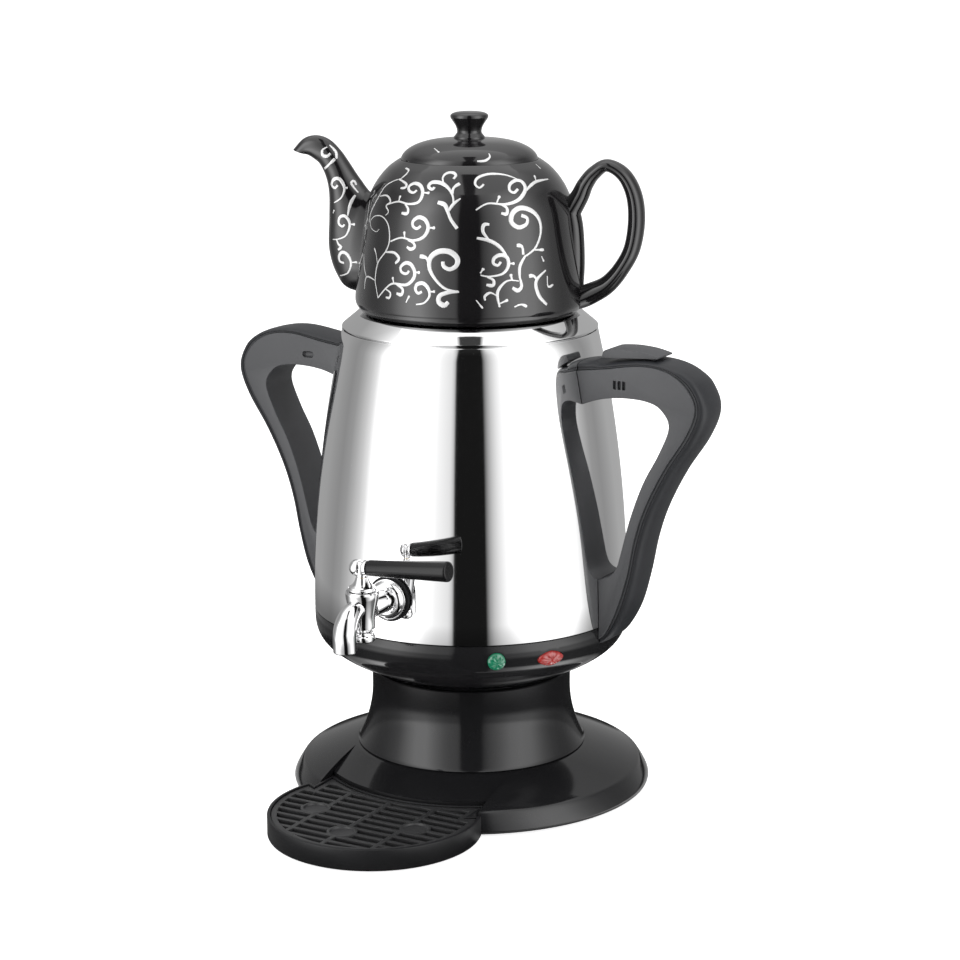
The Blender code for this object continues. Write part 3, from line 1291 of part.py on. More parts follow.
def make_ear(name, shares, steps):
    """Bar of oval section along a centre line in the teapot's own plane."""
    points = [(x * LOOP_REACH, z * LOOP_HEIGHT, thick * LOOP_HALF_THICKNESS) for x, z, thick in shares]
    path = smooth_through(points, steps)
    rings = []
    for index, point in enumerate(path):
        ahead = path[min(index + 1, len(path) - 1)]
        behind = path[max(index - 1, 0)]
        direction = Vector((ahead.x - behind.x, 0, ahead.y - behind.y)).normalized()
        out = Vector((-direction.z, 0, direction.x)) * point.z
        across = Vector((0, LOOP_HALF_WIDTH, 0))
        centre = Vector((point.x, 0, point.y))
        rings.append([centre + out * a + across * b for a, b in circle(1, LOOP_FACES)])
    return loft(name, rings)


def make_teapot_body():
    """Porcelain body with its foot ring, spout, ear and inner hollow."""
    ring_inner = POT_FOOT_RADIUS - POT_FOOT_RING
    ledge = POT_HEIGHT - POT_LEDGE_DEPTH
    foot_corner = 0.3 * (POT_BELLY_RADIUS - POT_FOOT_RADIUS)
    outline = [(0, POT_FOOT_RECESS), (ring_inner - POT_FOOT_RECESS, POT_FOOT_RECESS), (ring_inner, 0),
               (POT_FOOT_RADIUS, 0), (POT_FOOT_RADIUS + foot_corner, 0.12 * POT_BELLY_HEIGHT),
               (POT_BELLY_RADIUS - foot_corner, 0.48 * POT_BELLY_HEIGHT)]
    outline += pot_skin(0) + [(POT_RIM_RADIUS, POT_HEIGHT), (0, POT_HEIGHT)]
    body = lathe('teapot_body', outline, POT_FACES)
    add(body, make_spout_solid('spout', 0, 0))
    add(body, make_ear('loop', LOOP_SHARES, 2))
    add(body, make_ear('leg', LOOP_LEG_SHARES, 1))
    floor = POT_FOOT_RECESS + POT_WALL
    hollow = [(0, floor), (POT_FOOT_RADIUS - 0.6 * POT_WALL, floor)] + pot_skin(POT_WALL)
    hollow += [(POT_MOUTH_RADIUS, ledge - 0.9 * POT_WALL), (POT_MOUTH_RADIUS, ledge),
               (POT_RIM_RADIUS - POT_LIP, ledge), (POT_RIM_RADIUS - POT_LIP, POT_HEIGHT + OVERRUN),
               (0, POT_HEIGHT + OVERRUN)]
    cut(body, lathe('hollow', hollow, POT_FACES))
    cut(body, make_spout_solid('spout_bore', SPOUT_WALL, OVERRUN))
    body.location = (0, 0, POT_BOTTOM)
    body.rotation_euler = (0, 0, POT_TURN)
    return body


POT_LIP = 0.0007


def make_teapot_lid():
    """Domed porcelain lid with a waisted knob and a locating skirt."""
    seat = POT_HEIGHT - POT_LEDGE_DEPTH + GAP
    edge = POT_RIM_RADIUS - POT_LIP - GAP
    dome_top = POT_HEIGHT + POT_LID_DOME
    knob_top = dome_top + KNOB_HEIGHT
    skirt = POT_MOUTH_RADIUS - POT_LID_PLAY
    profile = [(0, knob_top), (0.55 * KNOB_TOP_RADIUS, knob_top - 0.06 * KNOB_HEIGHT),
               (KNOB_TOP_RADIUS, knob_top - 0.20 * KNOB_HEIGHT), (0.93 * KNOB_TOP_RADIUS, knob_top - 0.30 * KNOB_HEIGHT),
               (1.12 * KNOB_WAIST_RADIUS, knob_top - 0.52 * KNOB_HEIGHT), (KNOB_WAIST_RADIUS, knob_top - 0.76 * KNOB_HEIGHT),
               (KNOB_FOOT_RADIUS, dome_top + 0.04 * KNOB_HEIGHT), (KNOB_FOOT_RADIUS, dome_top)]
    for turn in (70, 50, 30, 12):
        radius = KNOB_FOOT_RADIUS + (edge - KNOB_FOOT_RADIUS) * math.cos(math.radians(turn)) ** 0.9
        profile.append((radius, POT_HEIGHT + POT_LID_DOME * math.sin(math.radians(turn)) ** 1.1))
    profile += [(edge, POT_HEIGHT), (edge, seat), (skirt, seat), (skirt, seat - POT_LID_SKIRT),
                (skirt - POT_LID_SKIRT_THICKNESS, seat - POT_LID_SKIRT), (skirt - POT_LID_SKIRT_THICKNESS, seat),
                (0.6 * edge, POT_HEIGHT + 0.70 * POT_LID_DOME - POT_LID_THICKNESS), (0, dome_top - POT_LID_THICKNESS)]
    lid = lathe('teapot_lid', profile, POT_FACES)
    lid.location = (0, 0, POT_BOTTOM)
    lid.rotation_euler = (0, 0, POT_TURN)
    return lid


# Materials and assembly

def make_materials():
    return {
        'gloss_black': material('gloss_black_plastic', (0.030, 0.030, 0.032), 0.22, coat=0.4),
        'tray_black': material('tray_black_plastic', (0.022, 0.022, 0.024), 0.45),
        'grip_grey': material('dark_grey_grip', (0.060, 0.062, 0.066), 0.50),
        'cover_grey': material('darker_grey_cover', (0.040, 0.041, 0.044), 0.46),
        'grip_black': material('lever_black', (0.015, 0.015, 0.016), 0.30),
        'mirror_steel': material('polished_steel', (0.78, 0.78, 0.78), 0.07, metallic=1.0),
        'chrome': material('chrome', (0.86, 0.86, 0.87), 0.04, metallic=1.0),
        'plain_steel': material('plain_steel', (0.55, 0.55, 0.56), 0.35, metallic=1.0),
        'aluminium': material('cast_aluminium', (0.66, 0.67, 0.68), 0.45, metallic=1.0),
        'brass': material('brass', (0.70, 0.55, 0.28), 0.30, metallic=1.0),
        'rubber': material('black_rubber', (0.018, 0.018, 0.018), 0.75),
        'bakelite': material('thermostat_shell', (0.50, 0.42, 0.30), 0.55),
        'green': material('green_lens', (0.02, 0.30, 0.12), 0.12),
        'red': material('red_lens', (0.60, 0.03, 0.02), 0.12),
        'porcelain': material('black_porcelain', (0.020, 0.019, 0.021), 0.09, coat=0.6),
    }


def build():
    clear_scene()
    looks = make_materials()
    dress(make_base_housing(), looks['gloss_black'])
    dress(make_base_cover(), looks['tray_black'])
    for (x, y), word in zip(foot_places(), ('rear_right', 'rear_left', 'front_left', 'front_right')):
        dress(make_foot('foot_' + word, x, y), looks['rubber'])
    dress(make_cord_gland(), looks['rubber'])
    dress(make_drip_tray(), looks['tray_black'])
    dress(make_drip_grille(), looks['tray_black'])
    dress(make_pedestal(), looks['gloss_black'])
    dress(make_clamp_plate(), looks['plain_steel'])
    dress(make_tie_rod(), looks['plain_steel'])
    dress(make_tie_nut(), looks['plain_steel'])
    dress(make_lower_bowl(), looks['gloss_black'])
    for lamp, colour in zip(LAMPS, ('green', 'red')):
        dress(make_lamp(lamp), looks[colour])
    dress(make_heater_plate(), looks['aluminium'])
    dress(make_heating_element(), looks['plain_steel'])
    dress(make_thermostat('boil_thermostat', 1), looks['bakelite'])
    dress(make_thermostat('keep_warm_thermostat', -1), looks['bakelite'])
    dress(make_thermal_fuse(), looks['plain_steel'])
    dress(make_tank(), looks['mirror_steel'])
    dress(make_tank_lid(), looks['mirror_steel'])
    dress(make_tap_gasket(), looks['rubber'])
    dress(make_tap_inner_gasket(), looks['rubber'])
    dress(make_tap_lock_nut(), looks['brass'])
    for make in (make_tap_flange, make_tap_body, make_tap_bonnet, make_tap_bottom_cap, make_lever_hub):
        dress(make(), looks['chrome'])
    dress(make_tap_plug(), looks['brass'])
    dress(make_lever_grip(), looks['grip_black'])
    for side, word in ((-1, 'left'), (1, 'right')):
        frame, cover = make_handle(side, word)
        dress(frame, looks['grip_grey'])
        dress(cover, looks['cover_grey'])
        for screw in make_handle_screws(side, word):
            dress(screw, looks['plain_steel'])
    dress(make_switch_paddle(), looks['cover_grey'])
    dress(make_switch_pin(), looks['plain_steel'])
    dress(make_teapot_body(), looks['porcelain'])
    dress(make_teapot_lid(), looks['porcelain'])


build()
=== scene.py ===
import math

import bmesh
import bpy
from mathutils import Matrix, Vector
from mathutils.bvhtree import BVHTree


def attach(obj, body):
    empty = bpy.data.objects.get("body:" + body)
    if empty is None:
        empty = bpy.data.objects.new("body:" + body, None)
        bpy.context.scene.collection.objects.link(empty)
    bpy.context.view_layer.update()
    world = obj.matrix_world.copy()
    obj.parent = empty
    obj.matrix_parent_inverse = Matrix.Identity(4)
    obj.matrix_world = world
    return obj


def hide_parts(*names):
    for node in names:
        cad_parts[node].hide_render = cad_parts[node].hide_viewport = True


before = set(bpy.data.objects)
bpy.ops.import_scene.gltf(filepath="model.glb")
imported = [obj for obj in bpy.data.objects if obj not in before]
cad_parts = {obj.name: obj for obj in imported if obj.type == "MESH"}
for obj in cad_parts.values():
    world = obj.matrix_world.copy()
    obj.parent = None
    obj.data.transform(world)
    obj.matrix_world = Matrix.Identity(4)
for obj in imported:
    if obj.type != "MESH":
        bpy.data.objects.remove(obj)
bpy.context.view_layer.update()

print("samovar scene: frame loaded")


# ---- camera, as the photograph was taken ----
pictureWidth, sensorWidth = 960, 36
cameraSizes = {"distance": 1.400, "height": 0.5045, "azimuth": 29.5, "pitch": 13.13, "roll": -0.215,
               "focal": 2480 / pictureWidth * sensorWidth, "shift": 9.34 / pictureWidth, "far": 50}


# ---- curves and meshes ----
def spline(points, steps):
    # smooth curve through the given points, any number of values in each
    last = len(points) - 1
    result = []
    for index in range(last):
        a, b, c, d = (points[min(max(index + shift, 0), last)] for shift in (-1, 0, 1, 2))
        for step in range(steps):
            t = step / steps
            result.append(tuple(0.5 * (2 * q + (r - p) * t + (2 * p - 5 * q + 4 * r - s) * t ** 2
                                       + (3 * q - p - 3 * r + s) * t ** 3) for p, q, r, s in zip(a, b, c, d)))
    return result + [tuple(points[-1])]


def resample(points, count):
    # the same curve with evenly spaced points
    lengths = [0.0]
    for a, b in zip(points, points[1:]):
        lengths.append(lengths[-1] + math.dist(a, b))
    result = []
    index = 0
    for step in range(count):
        target = lengths[-1] * step / (count - 1)
        while index < len(points) - 2 and lengths[index + 1] < target:
            index += 1
        span = lengths[index + 1] - lengths[index]
        t = (target - lengths[index]) / span if span else 0.0
        result.append(tuple(p + (q - p) * t for p, q in zip(points[index], points[index + 1])))
    return result


filletSizes = {"onAxis": 1e-6, "same": 1e-7, "sharpest": 4, "flattest": 160, "mostBack": 0.45}


def filleted(points, radius, steps=3):
    # closed (radius, height) outline with its corners rounded, apart from those on the axis:
    # a third value in a point is that corner's own radius
    s = filletSizes
    result = []
    count = len(points)
    for index, point in enumerate(points):
        own = point[2] if len(point) > 2 else radius
        here = Vector(point[:2])
        before = Vector(points[index - 1][:2]) - here
        after = Vector(points[(index + 1) % count][:2]) - here
        if own == 0 or here.x < s["onAxis"] or before.length < s["same"] or after.length < s["same"]:
            result.append(tuple(here))
            continue
        angle = before.angle(after, math.pi)
        if not math.radians(s["sharpest"]) < angle < math.radians(s["flattest"]):
            result.append(tuple(here))
            continue
        back = min(own / math.tan(angle / 2), s["mostBack"] * before.length, s["mostBack"] * after.length)
        start = here + before.normalized() * back
        end = here + after.normalized() * back
        for step in range(steps + 1):
            t = step / steps
            result.append(tuple(start * (1 - t) ** 2 + here * 2 * t * (1 - t) + end * t ** 2))
    return result


def linked(name, data):
    thing = bpy.data.objects.new(name, data)
    bpy.context.scene.collection.objects.link(thing)
    return thing


def finishMesh(name, shape):
    bmesh.ops.remove_doubles(shape, verts=shape.verts, dist=filletSizes["same"])
    bmesh.ops.recalc_face_normals(shape, faces=shape.faces)
    mesh = bpy.data.meshes.new(name)
    shape.to_mesh(mesh)
    shape.free()
    return softShade(linked(name, mesh))


# edges sharper than so many degrees stay crisp
crisp = {"usual": 34, "moulded": 40, "tap": 38, "paddle": 38, "grip": 36}


def softShade(piece, kind="usual"):
    piece.data.shade_smooth()
    piece.data.set_sharp_from_angle(angle=math.radians(crisp[kind]))
    return piece


def skinned(name, rings):
    # a closed skin over the rings, with a cap at both ends
    shape = bmesh.new()
    made = [[shape.verts.new(point) for point in ring] for ring in rings]
    for first, second in zip(made, made[1:]):
        for index in range(len(first)):
            after = (index + 1) % len(first)
            shape.faces.new([first[index], first[after], second[after], second[index]])
    shape.faces.new(made[0])
    shape.faces.new(list(reversed(made[-1])))
    return finishMesh(name, shape)


def turns(faces):
    return [2 * math.pi * step / faces for step in range(faces)]


# faces around the turned pieces, by name
usualFaces = 160
facesAround = {"recess": 96, "hole": 40, "step": 128, "gasket": 72, "rose": 96, "tapBody": 96, "shank": 64,
               "chamber": 64, "bonnet": 80, "cap": 72, "hub": 72, "stem": 56, "grip": 72, "pot": 200,
               "inner": 120}


def turned(name, outline, faces=None):
    # closed (radius, height) outline turned about +Z
    faces = faces or facesAround.get(name, usualFaces)
    shape = bmesh.new()
    rings = []
    for radius, height in outline:
        if radius < filletSizes["same"]:
            rings.append([shape.verts.new((0, 0, height))])
            continue
        rings.append([shape.verts.new((radius * math.cos(turn), radius * math.sin(turn), height))
                      for turn in turns(faces)])
    for first, second in zip(rings, rings[1:] + rings[:1]):
        if len(first) == 1 and len(second) == 1:
            continue
        for index in range(faces):
            after = (index + 1) % faces
            corners = [first[index % len(first)], first[after % len(first)],
                       second[after % len(second)], second[index % len(second)]]
            shape.faces.new(list(dict.fromkeys(corners)))
    return finishMesh(name, shape)


def plug(name, low, radius, high, faces=None):
    # upright cylinder
    return turned(name, [(0, low), (radius, low), (radius, high), (0, high)], faces)


def extruded(name, outline, low, high, axis="z"):
    rings = []
    for level in (low, high):
        rings.append([(u, v, level) if axis == "z" else (u, level, v) for u, v in outline])
    return skinned(name, rings)


def box(name, low, high):
    corners = [(low[0], low[1]), (high[0], low[1]), (high[0], high[1]), (low[0], high[1])]
    return extruded(name, corners, low[2], high[2])


def placed(piece, matrix):
    piece.data.transform(matrix)
    return piece


def plainMesh(piece):
    # the mesh that the piece's modifiers give
    seen = piece.evaluated_get(bpy.context.evaluated_depsgraph_get())
    mesh = bpy.data.meshes.new_from_object(seen)
    piece.modifiers.clear()
    piece.data = mesh
    return piece


def combined(piece, tool, operation="DIFFERENCE"):
    # cuts the tool from the piece, or adds it, and uses the tool up
    step = piece.modifiers.new("combine", "BOOLEAN")
    step.operation = operation
    step.solver = "EXACT"
    step.object = tool
    plainMesh(piece)
    bpy.data.objects.remove(tool, do_unlink=True)
    return piece


# segments of a rounded edge, and the least angle in degrees of the edges that are rounded
bevels = {"base": (2, 38), "grille": (2, 50), "frame": (4, 50), "vents": (5, 45), "paddle": (3, 40)}


def bevelled(piece, width, kind):
    segments, angle = bevels[kind]
    step = piece.modifiers.new("edge", "BEVEL")
    step.width = width
    step.segments = segments
    step.limit_method = "ANGLE"
    step.angle_limit = math.radians(angle)
    return softShade(plainMesh(piece))


def joined(name, pieces):
    shape = bmesh.new()
    for piece in pieces:
        shape.from_mesh(piece.data)
        bpy.data.objects.remove(piece, do_unlink=True)
    mesh = bpy.data.meshes.new(name)
    shape.to_mesh(mesh)
    shape.free()
    return softShade(linked(name, mesh))


def finished(piece, name, material, body, slot=None, *nodes):
    # names a piece, gives it its finish and its body, and hides the solids that it stands for
    piece.name = name
    piece.data.materials.clear()
    piece.data.materials.append(material)
    for face in piece.data.polygons:
        face.material_index = 0
    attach(piece, body)
    if nodes:
        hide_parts(*nodes)
    return piece


# ---- nodes ----
def wire(tree, made, values):
    # sets or links the inputs of a node
    for socket, value in values.items():
        if isinstance(value, bpy.types.NodeSocket):
            tree.links.new(value, made.inputs[socket])
        else:
            made.inputs[socket].default_value = value
    return made


def nodeMaker(tree):
    def node(kind, values=None, **settings):
        made = tree.nodes.new(kind)
        for key, value in settings.items():
            setattr(made, key, value)
        return wire(tree, made, values or {})

    return node


# ---- finishes ----
noiseSizes = {"low": 0.3, "high": 0.7, "patchDetail": 4.0, "grainDetail": 3.0}


def finish(name, colour, roughness, shifts, scales, grainHeight, metallic=0.0, coat=0.0, coatRoughness=0.05,
           stretch=(1, 1, 1), **sockets):
    # one surface: colour and roughness wander a little in patches, and a fine grain lifts the light
    s = noiseSizes
    colourShift, roughShift = shifts
    patchScale, grainScale = scales
    material = bpy.data.materials.new(name)
    material.use_nodes = True
    tree = material.node_tree
    node = nodeMaker(tree)
    place = node("ShaderNodeTexCoord").outputs["Object"]
    spread = node("ShaderNodeMapping", {"Vector": place, "Scale": stretch})
    patches = node("ShaderNodeTexNoise", {"Vector": place, "Scale": patchScale, "Detail": s["patchDetail"]})
    tone = node("ShaderNodeMix", {"Factor": patches.outputs["Fac"],
                                  "A": (*[max(c * (1 - colourShift), 0) for c in colour], 1),
                                  "B": (*[min(c * (1 + colourShift), 1) for c in colour], 1)}, data_type="RGBA")
    gloss = node("ShaderNodeMapRange", {"Value": patches.outputs["Fac"], "From Min": s["low"],
                                        "From Max": s["high"], "To Min": roughness,
                                        "To Max": roughness + roughShift})
    grain = node("ShaderNodeTexNoise", {"Vector": spread.outputs["Vector"], "Scale": grainScale,
                                        "Detail": s["grainDetail"]})
    lift = node("ShaderNodeBump", {"Strength": 1.0, "Distance": grainHeight, "Height": grain.outputs["Fac"]})
    wire(tree, tree.nodes["Principled BSDF"], {
        "Base Color": tone.outputs["Result"], "Roughness": gloss.outputs["Result"],
        "Normal": lift.outputs["Normal"], "Metallic": metallic, "Coat Weight": coat,
        "Coat Roughness": coatRoughness,
        **{label.replace("_", " "): value for label, value in sockets.items()}})
    return material


def metal(*values, **sockets):
    return finish(*values, metallic=1.0, **sockets)


# colour, roughness, shifts of colour and of roughness, scales of patches and of grain, height of the grain
mirrorSteel = metal("mirrorSteel", (0.865, 0.865, 0.868), 0.030, (0.012, 0.03), (22, 220), 0.0000016,
                    stretch=(1, 1, 0.04))
chrome = metal("chrome", (0.88, 0.88, 0.885), 0.03, (0.01, 0.03), (120, 900), 0.0000008)
plainSteel = metal("plainSteel", (0.56, 0.56, 0.57), 0.28, (0.06, 0.15), (90, 500), 0.000006, stretch=(1, 1, 8))
castAluminium = metal("castAluminium", (0.62, 0.63, 0.64), 0.42, (0.08, 0.12), (120, 700), 0.00002)
brass = metal("brass", (0.72, 0.55, 0.27), 0.22, (0.08, 0.15), (150, 700), 0.000005, stretch=(1, 1, 6))
blackGloss = finish("blackGloss", (0.0135, 0.0135, 0.0145), 0.055, (0.10, 0.07), (30, 1500), 0.0000022)
traySatin = finish("traySatin", (0.012, 0.012, 0.013), 0.34, (0.12, 0.12), (45, 1700), 0.000009,
                   Specular_IOR_Level=0.32)
# the tray's satin black again, lighter and shinier: painted light, so that the tops of the grille's bars read
# as lit
grilleSatinPaintedLight = finish("grilleSatinPaintedLight", (0.030, 0.030, 0.031), 0.34, (0.12, 0.12), (45, 1700), 0.000009,
                     Specular_IOR_Level=0.5)
gripGrey = finish("gripGrey", (0.062, 0.063, 0.067), 0.40, (0.08, 0.10), (38, 1900), 0.000010)
coverGrey = finish("coverGrey", (0.026, 0.027, 0.030), 0.36, (0.10, 0.12), (42, 1900), 0.000010,
                   Specular_IOR_Level=0.31)
leverBlack = finish("leverBlack", (0.006, 0.006, 0.0065), 0.17, (0.12, 0.10), (90, 1800), 0.000004,
                    Specular_IOR_Level=0.30)
gasketBlack = finish("gasketBlack", (0.006, 0.006, 0.007), 0.5, (0.15, 0.2), (160, 1400), 0.00002,
                     Specular_IOR_Level=0.2)
rubber = finish("rubber", (0.017, 0.017, 0.018), 0.62, (0.15, 0.2), (160, 1400), 0.00003)
blackGlaze = finish("blackGlaze", (0.0095, 0.009, 0.0098), 0.075, (0.12, 0.03), (25, 90), 0.000006, coat=0.5,
                    coatRoughness=0.03)
silverEnamel = finish("silverEnamel", (0.80, 0.80, 0.80), 0.30, (0.05, 0.16), (260, 2200), 0.000006,
                      metallic=0.35)
moulding = finish("moulding", (0.46, 0.38, 0.27), 0.5, (0.08, 0.15), (200, 1200), 0.00002)
greenLens = finish("greenLens", (0.012, 0.155, 0.085), 0.10, (0.55, 0.05), (330, 520), 0.00025, coat=1.0,
                   Emission_Color=(0.01, 0.45, 0.20, 1), Emission_Strength=0.12)
redLens = finish("redLens", (0.30, 0.020, 0.018), 0.10, (0.5, 0.05), (330, 520), 0.00025, coat=1.0,
                 Emission_Color=(1.0, 0.05, 0.03, 1), Emission_Strength=0.10)
print("finishes made")


# ---- shared outline of bowl, tank and lid ----
hull = {
    "bowlBottom": 0.0680, "bowlTop": 0.1047, "bowlNeck": 0.056, "bowlBand": 0.0017, "bowlBulge": 2.69,
    "bowlRise": 0.65, "tankBottom": 0.1050, "tankTop": 0.2680, "tankFoot": 0.0913, "sideRadius": 0.738,
    "tankWall": 0.0010, "floorZ": 0.1120, "seam": 0.0003,
}
# faces round each large turned piece, and the gap left where one piece is cut to fit against another
tankFaces, bowlFaces, cutGap = 224, 200, 0.0003


def bowlSide(inset=0.0, steps=28):
    low = hull["bowlBottom"] + inset
    points = []
    for step in range(steps + 1):
        turn = 0.5 * math.pi * step / steps
        spread = (hull["tankFoot"] - hull["bowlNeck"]) * math.sin(turn) ** hull["bowlBulge"]
        rise = 1.0 - math.cos(turn) ** hull["bowlRise"]
        height = low + (hull["bowlTop"] - hull["bowlBand"] - hull["bowlBottom"] - inset) * rise
        points.append((hull["bowlNeck"] + spread - inset, height))
    return points


def tankRadius(z):
    sine = (z - hull["tankBottom"]) / hull["sideRadius"]
    return hull["tankFoot"] - hull["sideRadius"] * (1.0 - math.sqrt(1.0 - sine ** 2))


def tankSide(inset, low, high, steps=24):
    heights = [low + (high - low) * step / steps for step in range(steps + 1)]
    return [(tankRadius(height) - inset, height) for height in heights]


def envelope():
    # bowl and tank in one, a little larger than they are, to cut what touches them
    outline = [(0, hull["bowlBottom"])] + bowlSide(-cutGap)
    outline += tankSide(-cutGap, hull["tankBottom"], hull["tankTop"])
    return turned("envelope", outline + [(0, hull["tankTop"])])


# ---- tank, lid, bowl, pedestal and base ----
tankSizes = {"edge": 0.0004, "rim": 0.0003, "rimInside": 0.0007, "corner": 0.004, "cornerCut": 0.0012}


def makeTank():
    s, wall = tankSizes, hull["tankWall"]
    low, high, floorTop = hull["tankBottom"], hull["tankTop"], hull["floorZ"] + wall
    outer = tankSide(0, low + s["edge"], high - s["edge"])
    inner = list(reversed(tankSide(wall, floorTop + s["corner"], high - s["edge"])))
    outline = [(tankRadius(low) - s["edge"], low)] + outer
    outline += [(tankRadius(high) - s["rim"], high), (tankRadius(high) - s["rimInside"], high)] + inner
    base = tankRadius(floorTop) - wall
    outline += [(base - s["cornerCut"], floorTop + s["cornerCut"]), (base - s["corner"], floorTop),
                (0, floorTop), (0, hull["floorZ"]), (hull["tankFoot"] - wall, hull["floorZ"]),
                (hull["tankFoot"] - wall, low)]
    tank = turned("tank", outline, tankFaces)
    finished(tank, "polishedTank", mirrorSteel, "samovar", "polished_steel", "tank_shell")


lidSizes = {"low": 0.2689, "high": 0.2770, "shoulder": 0.0645, "edge": 0.0009, "sheet": 0.0008, "hole": 0.018,
            "holeLip": 0.004, "bend": 0.0004, "over": 0.0001, "skirtGap": 0.0005, "skirtDepth": 0.0068}


def makeTankLid():
    s = lidSizes
    rim = tankRadius(hull["tankTop"])
    skirt = rim - hull["tankWall"] - s["skirtGap"]
    outline = filleted([
        (rim + s["over"], s["low"]), (rim + s["over"], s["low"] + s["edge"]), (s["shoulder"], s["high"]),
        (s["hole"] + s["holeLip"], s["high"]), (s["hole"], s["high"] - s["bend"]),
        (s["hole"], s["high"] - s["sheet"]), (s["shoulder"] - s["bend"], s["high"] - s["sheet"]),
        (skirt - s["sheet"], s["low"] + s["edge"]), (skirt - s["sheet"], s["low"] - s["skirtDepth"]),
        (skirt, s["low"] - s["skirtDepth"]), (skirt, s["low"])], s["bend"])
    lid = turned("lid", outline, tankFaces)
    finished(lid, "polishedTankLid", mirrorSteel, "lid", "polished_steel", "tank_lid")


bowlSizes = {"collar": 0.0062, "collarWall": 0.002, "collarFoot": 0.0024, "collarDeep": 0.002,
             "round": 0.0005, "wall": 0.0034, "insideSteps": 14, "floor": 0.0025}


def makeBowl():
    s, top = bowlSizes, hull["bowlTop"]
    lip = hull["tankFoot"] - hull["tankWall"] - hull["seam"]
    outline = [(0, hull["bowlBottom"])] + bowlSide()
    outline += filleted([(hull["tankFoot"], top), (lip, top, 0), (lip, top + s["collar"]),
                         (lip - s["collarWall"], top + s["collar"]),
                         (lip - s["collarFoot"], top - s["collarDeep"], 0)], s["round"])[:-1]
    outline += list(reversed(bowlSide(s["wall"], s["insideSteps"]))) + [(0, hull["bowlBottom"] + s["floor"])]
    bowl = turned("bowl", outline, bowlFaces)
    for lamp in lamps:
        combined(bowl, placed(lensPost(lamp, cutGap, *lampSizes["hole"]), lampPlace(lamp)))
    softShade(bowl, "moulded")
    finished(bowl, "plasticBowl", blackGloss, "samovar", "gloss_black", "lower_bowl")


pedestalSizes = {"low": 0.0228, "high": 0.0677, "foot": 0.067, "waist": 0.0582, "flare": 0.0335, "lip": 0.0009,
                 "footIn": 0.001, "footEdge": 0.0004, "round": 0.0003, "topEdge": 0.0005, "steps": 24}


def makePedestal():
    s = pedestalSizes
    spread = s["foot"] - s["waist"]
    sweep = (spread ** 2 + s["flare"] ** 2) / (2 * spread)
    side = []
    for step in range(s["steps"] + 1):
        height = s["low"] + s["lip"] + (s["flare"] - s["lip"]) * step / s["steps"]
        reach = math.sqrt(sweep ** 2 - (height - s["low"] - s["flare"]) ** 2)
        side.append((s["waist"] + sweep - reach, height))
    outline = [(0, s["low"])] + filleted([(s["foot"] - s["footIn"], s["low"], 0),
                                          (s["foot"], s["low"] + s["footEdge"])], s["round"])
    outline += side + [(s["waist"], s["high"] - s["topEdge"]), (s["waist"] - s["topEdge"], s["high"]),
                       (0, s["high"])]
    pedestal = turned("pedestal", outline, bowlFaces)
    finished(pedestal, "flaredPedestal", blackGloss, "samovar", "gloss_black", "pedestal")


baseSizes = {"radius": 0.105, "faces": 192, "crown": 0.0007, "crownSteps": 14, "top": (0.067, 0.0225),
             "edge": ((0.1050, 0.0012), (0.1049, 0.0022), (0.1035, 0.0052), (0.1012, 0.0090),
                      (0.0998, 0.0110), (0.0988, 0.0119), (0.0972, 0.0125)),
             "foot": ((0.0010, 0), (0.0003, 0.0003)), "round": 0.0007, "coverRecess": (0.1031, 0.0023),
             "notchBack": 0.088, "notchLip": 0.0135, "notchHalf": 0.052, "notchGap": (0.001, 0.0001),
             "notchFaces": 180, "gland": (0.0045, 0.004, 0.0073), "edgeSteps": 3}
# how far the tools that cut the base reach below, above, outside and in front of it
baseOverrun = {"deep": -0.01, "high": 0.03, "outside": 0.11, "front": -0.12, "more": 0.01}


def makeBase():
    s, over = baseSizes, baseOverrun
    edge = spline(s["edge"], s["edgeSteps"])
    edgeR, edgeZ = edge[-1]
    topR, topZ = s["top"]
    cone = []
    for step in range(1, s["crownSteps"] + 1):
        t = step / s["crownSteps"]
        cone.append((edgeR + (topR - edgeR) * t, edgeZ + (topZ - edgeZ) * t + 4 * s["crown"] * t * (1 - t)))
    foot = [(s["radius"] - inset, height) for inset, height in s["foot"]]
    outline = [(0, 0)] + foot + edge + cone + [(0, topZ)]
    base = turned("base", outline, s["faces"])
    gapR, gapZ = s["notchGap"]
    notch = turned("notch", [(topR + gapR, over["high"]), (topR + gapR, topZ + gapZ),
                             (s["notchBack"], s["notchLip"]), (s["notchBack"], over["deep"]),
                             (over["outside"], over["deep"]), (over["outside"], over["high"])], s["notchFaces"])
    sides = box("sides", (-s["notchHalf"], over["front"], over["deep"] - over["more"]),
                (s["notchHalf"], 0, over["high"] + over["more"]))
    combined(base, combined(notch, sides, "INTERSECT"))
    combined(base, plug("recess", over["deep"], *s["coverRecess"]))
    radius, half, height = s["gland"]
    hole = placed(plug("hole", -half, radius, half),
                  Matrix.Translation((0, s["radius"], height)) @ Matrix.Rotation(math.pi / 2, 4, "X"))
    combined(base, hole)
    bevelled(base, s["round"], "base")
    finished(base, "roundBase", blackGloss, "samovar", "gloss_black", "base_housing")


# ---- indicator lamps ----
lamps = (
    {"name": "greenLamp", "node": "lamp_green", "look": greenLens, "slot": "green_lens", "angle": 38.3,
     "rise": 0.0277, "width": 0.0100, "height": 0.0100, "point": 1.0, "facets": 8},
    {"name": "redLamp", "node": "lamp_red", "look": redLens, "slot": "red_lens", "angle": 58.6,
     "rise": 0.0264, "width": 0.0160, "height": 0.0088, "point": 0.82, "facets": 10},
)
